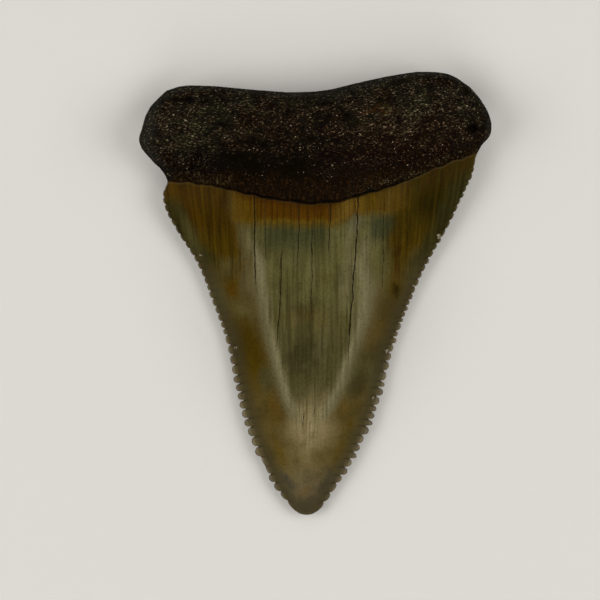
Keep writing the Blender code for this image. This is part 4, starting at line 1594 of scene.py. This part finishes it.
    def bend_crown(self, u: Array, rows: Array, inner: Array) -> Array:
        """Place points of the crown.

        Args:
            u: Place across, from -1 to 1.
            rows: Row of the crown.
            inner: 1 on the inner face and 0 on the outer.

        Returns:
            The points, in millimetres.
        """
        outline, crown = self.outline, self.crown
        x, y, width = outline.crown_plan(u, rows, inner > 0.5)
        from_side = 0.5 * width * (1 - np.abs(u))
        from_tip = rows / CROWN_ROWS * outline.left.length
        from_edge = np.minimum(from_side, from_tip)
        edge = crown.cutting_edge.at(y)
        over = edge + crown.inner_section(u, y, from_edge)
        share = np.maximum(np.abs(u) ** crown.outer_curve, np.exp(-from_tip / self.tip_reach))
        under = crown.worn_flat(lerp(crown.outer_height(x, y), edge, share), edge)

        below = outline.below_border(x, y, inner > 0.5)
        fluted = self.fluted_edge.at(from_edge) * self.fluted_border.at(below)
        places = np.column_stack([self.fibre(x, y), y, inner * FLUTE_SHIFT])
        over += self.flute_height * self.flutes.at(places) * fluted
        groove = np.exp(-((below / self.border_groove_width) ** 2))
        over -= self.border_groove_depth * groove * self.border_groove_edge.at(from_edge)
        notches, domes = np.zeros_like(u), np.zeros_like(u)
        for side in (outline.left, outline.right):
            lobe, size = side.lobe(rows)
            inside = 0.5 * width * (1 - side.sign * u)
            depth = self.notch_depth * side.relief.at(rows / CROWN_ROWS) / self.full_relief * size
            notch = (1 - lobe) * np.exp(-((inside / self.notch_reach) ** 2))
            notches += depth * (notch * np.minimum(inside / self.notch_start, 1.0))
            dome = lobe * np.exp(-((inside / self.dome_reach) ** 2))
            dome = dome * np.minimum(inside / self.dome_start, 1.0)
            domes += self.dome_share * depth * dome
        over += domes - notches
        under += self.dome_share * notches
        for crack in self.cracks:
            over -= crack.depth * self.crack_share(crack, u, rows)
        for chip in self.chips:
            over -= chip.depth * chip.share(x, y) * np.minimum(from_edge / self.chip_start, 1.0)
        z = np.where(inner > 0.5, over, under)
        return np.column_stack([x, y, np.maximum(z, 0.0)])

    def bend_root(self, u: Array, rows: Array, inner: Array) -> Array:
        """Place points of the root.

        Args:
            u: Place across, from -1 to 1.
            rows: Row of the tooth, above CROWN_ROWS.
            inner: 1 on the inner face and 0 on the outer.

        Returns:
            The points, in millimetres.
        """
        outline, crown, root = self.outline, self.crown, self.root
        reach = np.interp(rows - CROWN_ROWS, np.arange(len(self.reaches)), self.reaches)
        x, y, width = outline.root_plan(u, reach, inner > 0.5)
        t = np.abs(u)
        across = 0.5 * (u + 1)
        rise = smoothstep(0.0, root.neck_length, reach)
        border_y = lerp(outline.left.top_y, outline.right.top_y, across)
        border_y = border_y + outline.border_bow(u, inner > 0.5)
        edge_y = np.where(u < 0, outline.left.top_y, outline.right.top_y)
        rim = lerp(crown.cutting_edge.at(edge_y), root.rim_z, rise)

        power_across, power_along = root.dome_powers
        flat = np.column_stack([x, y, 0 * x]) / root.lump_size
        lump = root.lump_height * np.array([noise.noise(place) for place in flat])
        middle = root.lobe_z + root.middle_rise * np.exp(-((x / root.middle_width) ** 2)) + lump
        dome = (middle - rim) * blunt(t, power_across) * blunt(reach, power_along)
        lip = root.lip_height * np.minimum(1.0, root.lip_fade * (1 - t))
        lip = lip * smoothstep(0.0, root.lip_length / outline.root_height, reach)
        neck = crown.inner_section(u, border_y, 0.5 * width * (1 - t)) + lip
        over = rim + lerp(neck, dome, rise)
        away = root.from_hole(x, y, root.vessel_hole_radius)
        over -= root.vessel_hole_depth * np.exp(-(away**root.vessel_hole_steepness))

        power_across, power_along = root.outer_powers
        crown_like = 1 - t**crown.outer_curve
        share = lerp(crown_like, blunt(t, power_across), root.outer_blend.at(reach))
        share = share * blunt(reach, power_along)
        under = crown.worn_flat(lerp(rim, crown.outer_height(x, y), share), rim)
        return np.column_stack([x, y, np.where(inner > 0.5, over, under)])

    def fibre(self, x: Array, y: Array) -> Array:
        """Number the enamel's fibres across: upright in the middle, and fanned out beside it."""
        lean = self.fibre_fan * self.fibre_fan_part.at(np.abs(x))
        return x - np.sign(x) * lean * (y - self.fibre_fan_from)

    def crack_share(self, crack: Crack, u: Array, rows: Array) -> Array:
        """Find how deep in a crack points of the crown are.

        Args:
            crack: The crack.
            u: Place across, from -1 to 1.
            rows: Row of the crown.

        Returns:
            The share of its depth, from 0 beside it to 1 on its middle.
        """
        at_rows, middle, half = self.crack_line(crack)
        middle, half = np.interp(rows, at_rows, middle), np.interp(rows, at_rows, half)
        beside = np.abs(column_share(u) - middle) / np.maximum(half, THINNEST)
        depth = np.clip(1 - beside, 0.0, 1.0)
        return np.where((rows >= at_rows[0]) & (rows <= at_rows[-1]), depth, 0.0)

    def sew(self, mesh: bpy.types.Mesh) -> None:
        """Join the two faces of the bent mesh along the outline, into one closed skin."""
        with editing(mesh) as bm:
            bmesh.ops.remove_doubles(bm, verts=list(bm.verts), dist=SEAM_GAP * MM)

    def roughen(self, mesh: bpy.types.Mesh) -> None:
        """Raise the root's grains and sink its pores, along the surface's own directions.

        Args:
            mesh: The sewn mesh.
        """
        points = self.read(mesh) / MM
        plan = self.read(mesh, "plan")
        normals = triples(mesh.vertex_normals)
        root = plan[:, 1] > CROWN_ROWS + LIP_ROWS
        places = points[root]
        x, y, _ = places.T
        above = -self.outline.below_border(x, y, plan[root, 2] > 0.5)
        up_neck = above / self.root.neck_height.at(x)
        from_rim = self.root.from_rim(plan[root, 0], x, y)
        height = self.bone_relief.height(places, above, up_neck, from_rim)
        points[root] += normals[root] * height[:, None]
        points[:, 2] = np.maximum(points[:, 2], 0.0)
        self.write(mesh, "position", points * MM)

    def mark(self, mesh: bpy.types.Mesh) -> None:
        """Write the attributes that the finishes read, from the mesh as it now is.

        Args:
            mesh: The finished mesh.
        """
        points = self.read(mesh) / MM
        plan = self.read(mesh, "plan")
        u, rows, inner = plan[:, 0], np.minimum(plan[:, 1], CROWN_ROWS), plan[:, 2] > 0.5
        x, y, z = points.T
        sides = (self.outline.left, self.outline.right)
        half = 0.5 * self.outline.crown_plan(u, rows, inner)[2]
        off_ridge = (np.abs(u) - self.crown.ridge(u, y)) * half
        shift = np.where(inner, 0.0, OUTER_SHIFT)
        below = self.outline.below_border(x, y, inner)
        edge = np.minimum(half * (1 - np.abs(u)), rows / CROWN_ROWS * sides[0].length)
        bead = self.bead_width * sides[0].relief.at(rows / CROWN_ROWS)
        cracks = [crack.dark * self.crack_share(crack, u, plan[:, 1]) for crack in self.cracks]
        hole = self.root.from_hole(x, y, self.root.vessel_hole_shade)
        values = {
            "place": np.column_stack([x, y, z + shift]),
            "fibre": np.column_stack([self.fibre(x, y), y, shift]),
            "band": y - self.band_line.at(x),
            "border": below,
            "neck": -below / self.root.neck_height.at(x),
            "edge": edge,
            **self.zones.shares(u, y, off_ridge, inner),
            "lobe": np.where(u < 0, *(side.lobe(rows)[0] for side in sides)),
            "bead_depth": edge / bead.clip(self.least_bead),
            "crack": np.max(cracks, axis=0) * inner,
            "chip": np.max([chip.share(x, y) for chip in self.chips], axis=0),
            "rim": self.root.from_rim(u, x, y),
            # How far into the vessel hole each point is, for its painted shade.
            "hole": np.exp(-(hole**2)) * inner,
        }
        for name, value in values.items():
            self.write(mesh, name, value)


@dataclass(frozen=True)
class Lamp:
    """A soft box: where it stands, as seen from the tooth, its size and its power.

    Its angles are in degrees, its lengths in metres and its power in watts.
    """

    name: str
    azimuth: float
    height: float
    distance: float
    side: float
    power: float
    glossy: bool = True


@dataclass
class Studio:
    """A pale matte floor, soft light and a camera that looks straight down.

    The place and width of the view, the height it is focused at and the card's grain are in
    millimetres. The camera's clip distances and the floor's side are in metres.
    """

    middle: tuple[float, float] = (-1.7, -0.66)
    view_width: float = 66.0
    focus_height: float = 3.0
    lens: float = 180.0
    clip: tuple[float, float] = (0.01, 20.0)
    floor_side: float = 3.0
    floor_colour: str = "#C2BFB9"
    card_grain: float = 0.9
    card_detail: float = 3.0
    card_depth: float = 0.1
    card_strength: float = 0.2
    card_roughness: float = 0.9
    card_specular: float = 0.1
    backdrop_colour: str = "#EDEBE7"
    backdrop_strength: float = 0.85
    fill_strength: float = 0.06
    lamps: tuple[Lamp, ...] = (
        Lamp("left_softbox", 180.0, 45.0, 0.4, 0.3, 1.13, False),
        Lamp("right_softbox", 0.0, 45.0, 0.4, 0.3, 1.13, False),
        Lamp("top_softbox", 90.0, 50.0, 0.42, 0.3, 0.4, False),
        Lamp("tip_softbox", 270.0, 45.0, 0.42, 0.3, 0.7, False),
        Lamp("left_rim_light", 160.0, 14.0, 0.4, 0.16, 0.08),
        Lamp("top_rim_light", 90.0, 12.0, 0.4, 0.2, 0.08),
        Lamp("right_rim_light", 20.0, 14.0, 0.4, 0.16, 0.08),
    )

    def build(self) -> None:
        """Set up the floor, the lamps, the world and the camera."""
        self.lay_floor()
        for lamp in self.lamps:
            self.hang(lamp)
        self.light_world()
        self.place_camera()

    def lay_floor(self) -> None:
        """Lay the floor: a matte card with a faint tooth to its surface."""
        mesh = bpy.data.meshes.new("floor")
        with editing(mesh) as bm:
            bmesh.ops.create_grid(bm, x_segments=1, y_segments=1, size=0.5 * self.floor_side)
        floor = stand("floor", mesh)
        card = bpy.data.materials.new("matte_card")
        p = Painter(card, {"place": Step("TexCoord", (), "Object")})
        fibres = Grain((self.card_grain * MM,) * 3, self.card_detail).weave(p)
        depth, strength = self.card_depth * MM, self.card_strength
        relief = {"Height": fibres, "Strength": strength, "Distance": depth}
        p.wire(p.shader, {
            "Base Color": linear(self.floor_colour), "Roughness": self.card_roughness,
            "Specular IOR Level": self.card_specular, "Normal": p.add("Bump", relief, "Normal"),
        })
        mesh.materials.append(card)
        floor.visible_glossy = False

    def hang(self, lamp: Lamp) -> None:
        """Hang one soft box, aimed at the tooth.

        Args:
            lamp: The soft box.
        """
        light = bpy.data.lights.new(lamp.name, "AREA")
        light.size = lamp.side
        light.energy = lamp.power
        holder = stand(lamp.name, light)
        turn, rise = math.radians(lamp.azimuth), math.radians(lamp.height)
        way = Vector((math.cos(turn) * math.cos(rise), math.sin(turn) * math.cos(rise), math.sin(rise)))
        holder.location = way * lamp.distance
        holder.rotation_mode = "QUATERNION"
        holder.rotation_quaternion = way.to_track_quat("Z", "Y")
        holder.visible_glossy = lamp.glossy

    def light_world(self) -> None:
        """Give the camera a pale backdrop and the tooth only a faint light from all round."""
        world = bpy.data.worlds.new("studio")
        p = Painter(world)
        seen = p.add("LightPath", {}, "Is Camera Ray")
        levels = {"Value": seen, "To Min": self.fill_strength, "To Max": self.backdrop_strength}
        strength = p.add("MapRange", levels)
        p.wire(p.shader, {"Color": linear(self.backdrop_colour), "Strength": strength})
        bpy.context.scene.world = world

    def place_camera(self) -> None:
        """Place the camera above the tooth, with no blur and plain colours."""
        data = bpy.data.cameras.new("camera")
        data.lens = self.lens
        data.clip_start, data.clip_end = self.clip
        camera = stand("camera", data)
        distance = self.view_width * self.lens / data.sensor_width
        x, y = self.middle
        camera.location = (x * MM, y * MM, (self.focus_height + distance) * MM)
        scene = bpy.context.scene
        scene.camera = camera
        scene.view_settings.view_transform = "Standard"


LEFT_EDGE = SerratedEdge(
    side=Curve((
        (-23.75, -2.3), (-21.6, -4.1), (-18.3, -5.9), (-13.9, -7.6), (-9.5, -8.7), (-5.1, -9.7),
        (-0.7, -11.3), (3.7, -13.1), (7.0, -15.2), (9.6, -16.5), (11.2, -16.7), (12.4, -16.3),
        (13.3, -16.7), (14.6, -17.9), (16.3, -19.25), (18.4, -18.95), (20.5, -18.1), (22.3, -16.3),
    )),
    top_y=12.4, sign=-1, pitch_low=1.03, pitch_high=0.8, unevenness=0.12, seed=4,
    chips=((-20.0, -18.1),),
)
RIGHT_EDGE = SerratedEdge(
    side=Curve((
        (-23.8, 0.3), (-21.6, 1.95), (-18.3, 3.9), (-13.9, 6.05), (-9.5, 7.45), (-5.1, 8.7),
        (-0.7, 10.4), (3.7, 12.4), (7.0, 14.3), (10.3, 15.9), (13.3, 17.25), (15.6, 17.85),
        (16.4, 18.35), (17.4, 19.15), (18.5, 19.3), (19.8, 18.95), (21.3, 18.1), (22.7, 16.9),
    )),
    top_y=15.6, sign=1, pitch_low=0.9, pitch_high=0.76, unevenness=0.24, seed=11,
)
CRACKS = (
    Crack(((-6.5, 0.2), (-6.65, 4.5), (-6.65, 11.0))),
    Crack(((-5.4, 3.5), (-5.5, 6.0), (-5.5, 10.7)), 0.05, 0.07, 0.55),
    Crack(((-4.3, -5.8), (-4.0, -2.9), (-3.8, 0.2), (-3.7, 4.7)), 0.07, 0.12, 0.85),
    Crack(((-2.0, 3.2), (-1.8, 7.0), (-1.8, 10.2)), 0.06, 0.1, 0.75),
    Crack(((-0.5, -2.4), (-0.4, 1.8), (-0.4, 8.0)), 0.065, 0.1, 0.75),
    Crack(((1.4, 4.5), (1.55, 7.5), (1.6, 9.9)), 0.065, 0.1, 0.8),
    Crack(((3.6, -7.3), (3.7, -4.1), (4.1, 1.8), (4.5, 6.3), (4.7, 10.9)), 0.085, 0.16, 1.0, 0.1),
    Crack(((7.3, 0.4), (7.4, 5.0), (7.45, 11.4)), 0.05, 0.07, 0.5),
    Crack(((9.0, 3.2), (9.1, 6.0)), 0.06, 0.06, 0.4),
    Crack(((-1.4, -14.6), (-1.15, -12.5)), 0.05, 0.06, 0.45),
    Crack(((-0.5, -14.1), (-0.05, -12.2)), 0.05, 0.06, 0.4),
)
CHIPS = (
    Chip(7.9, -6.3, 0.34, 0.2), Chip(-8.8, -5.9, 0.24), Chip(-12.6, 4.3, 0.22), Chip(13.6, 6.4, 0.32),
    Chip(10.8, 0.9, 0.2), Chip(6.4, -11.4, 0.24), Chip(-0.4, 7.15, 0.1, 0.03),
)


def main() -> None:
    """Build the tooth and the studio round it."""
    logging.basicConfig(level=logging.INFO, format="%(message)s")
    root = Root()
    tooth = Tooth(Outline(LEFT_EDGE, RIGHT_EDGE, root), Crown(), root, CRACKS, CHIPS).build()
    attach(tooth, BODY)
    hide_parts(NODE)
    logging.info("%s: %d faces", tooth.name, len(tooth.data.polygons))
    Studio().build()


if __name__ == "__main__":
    main()
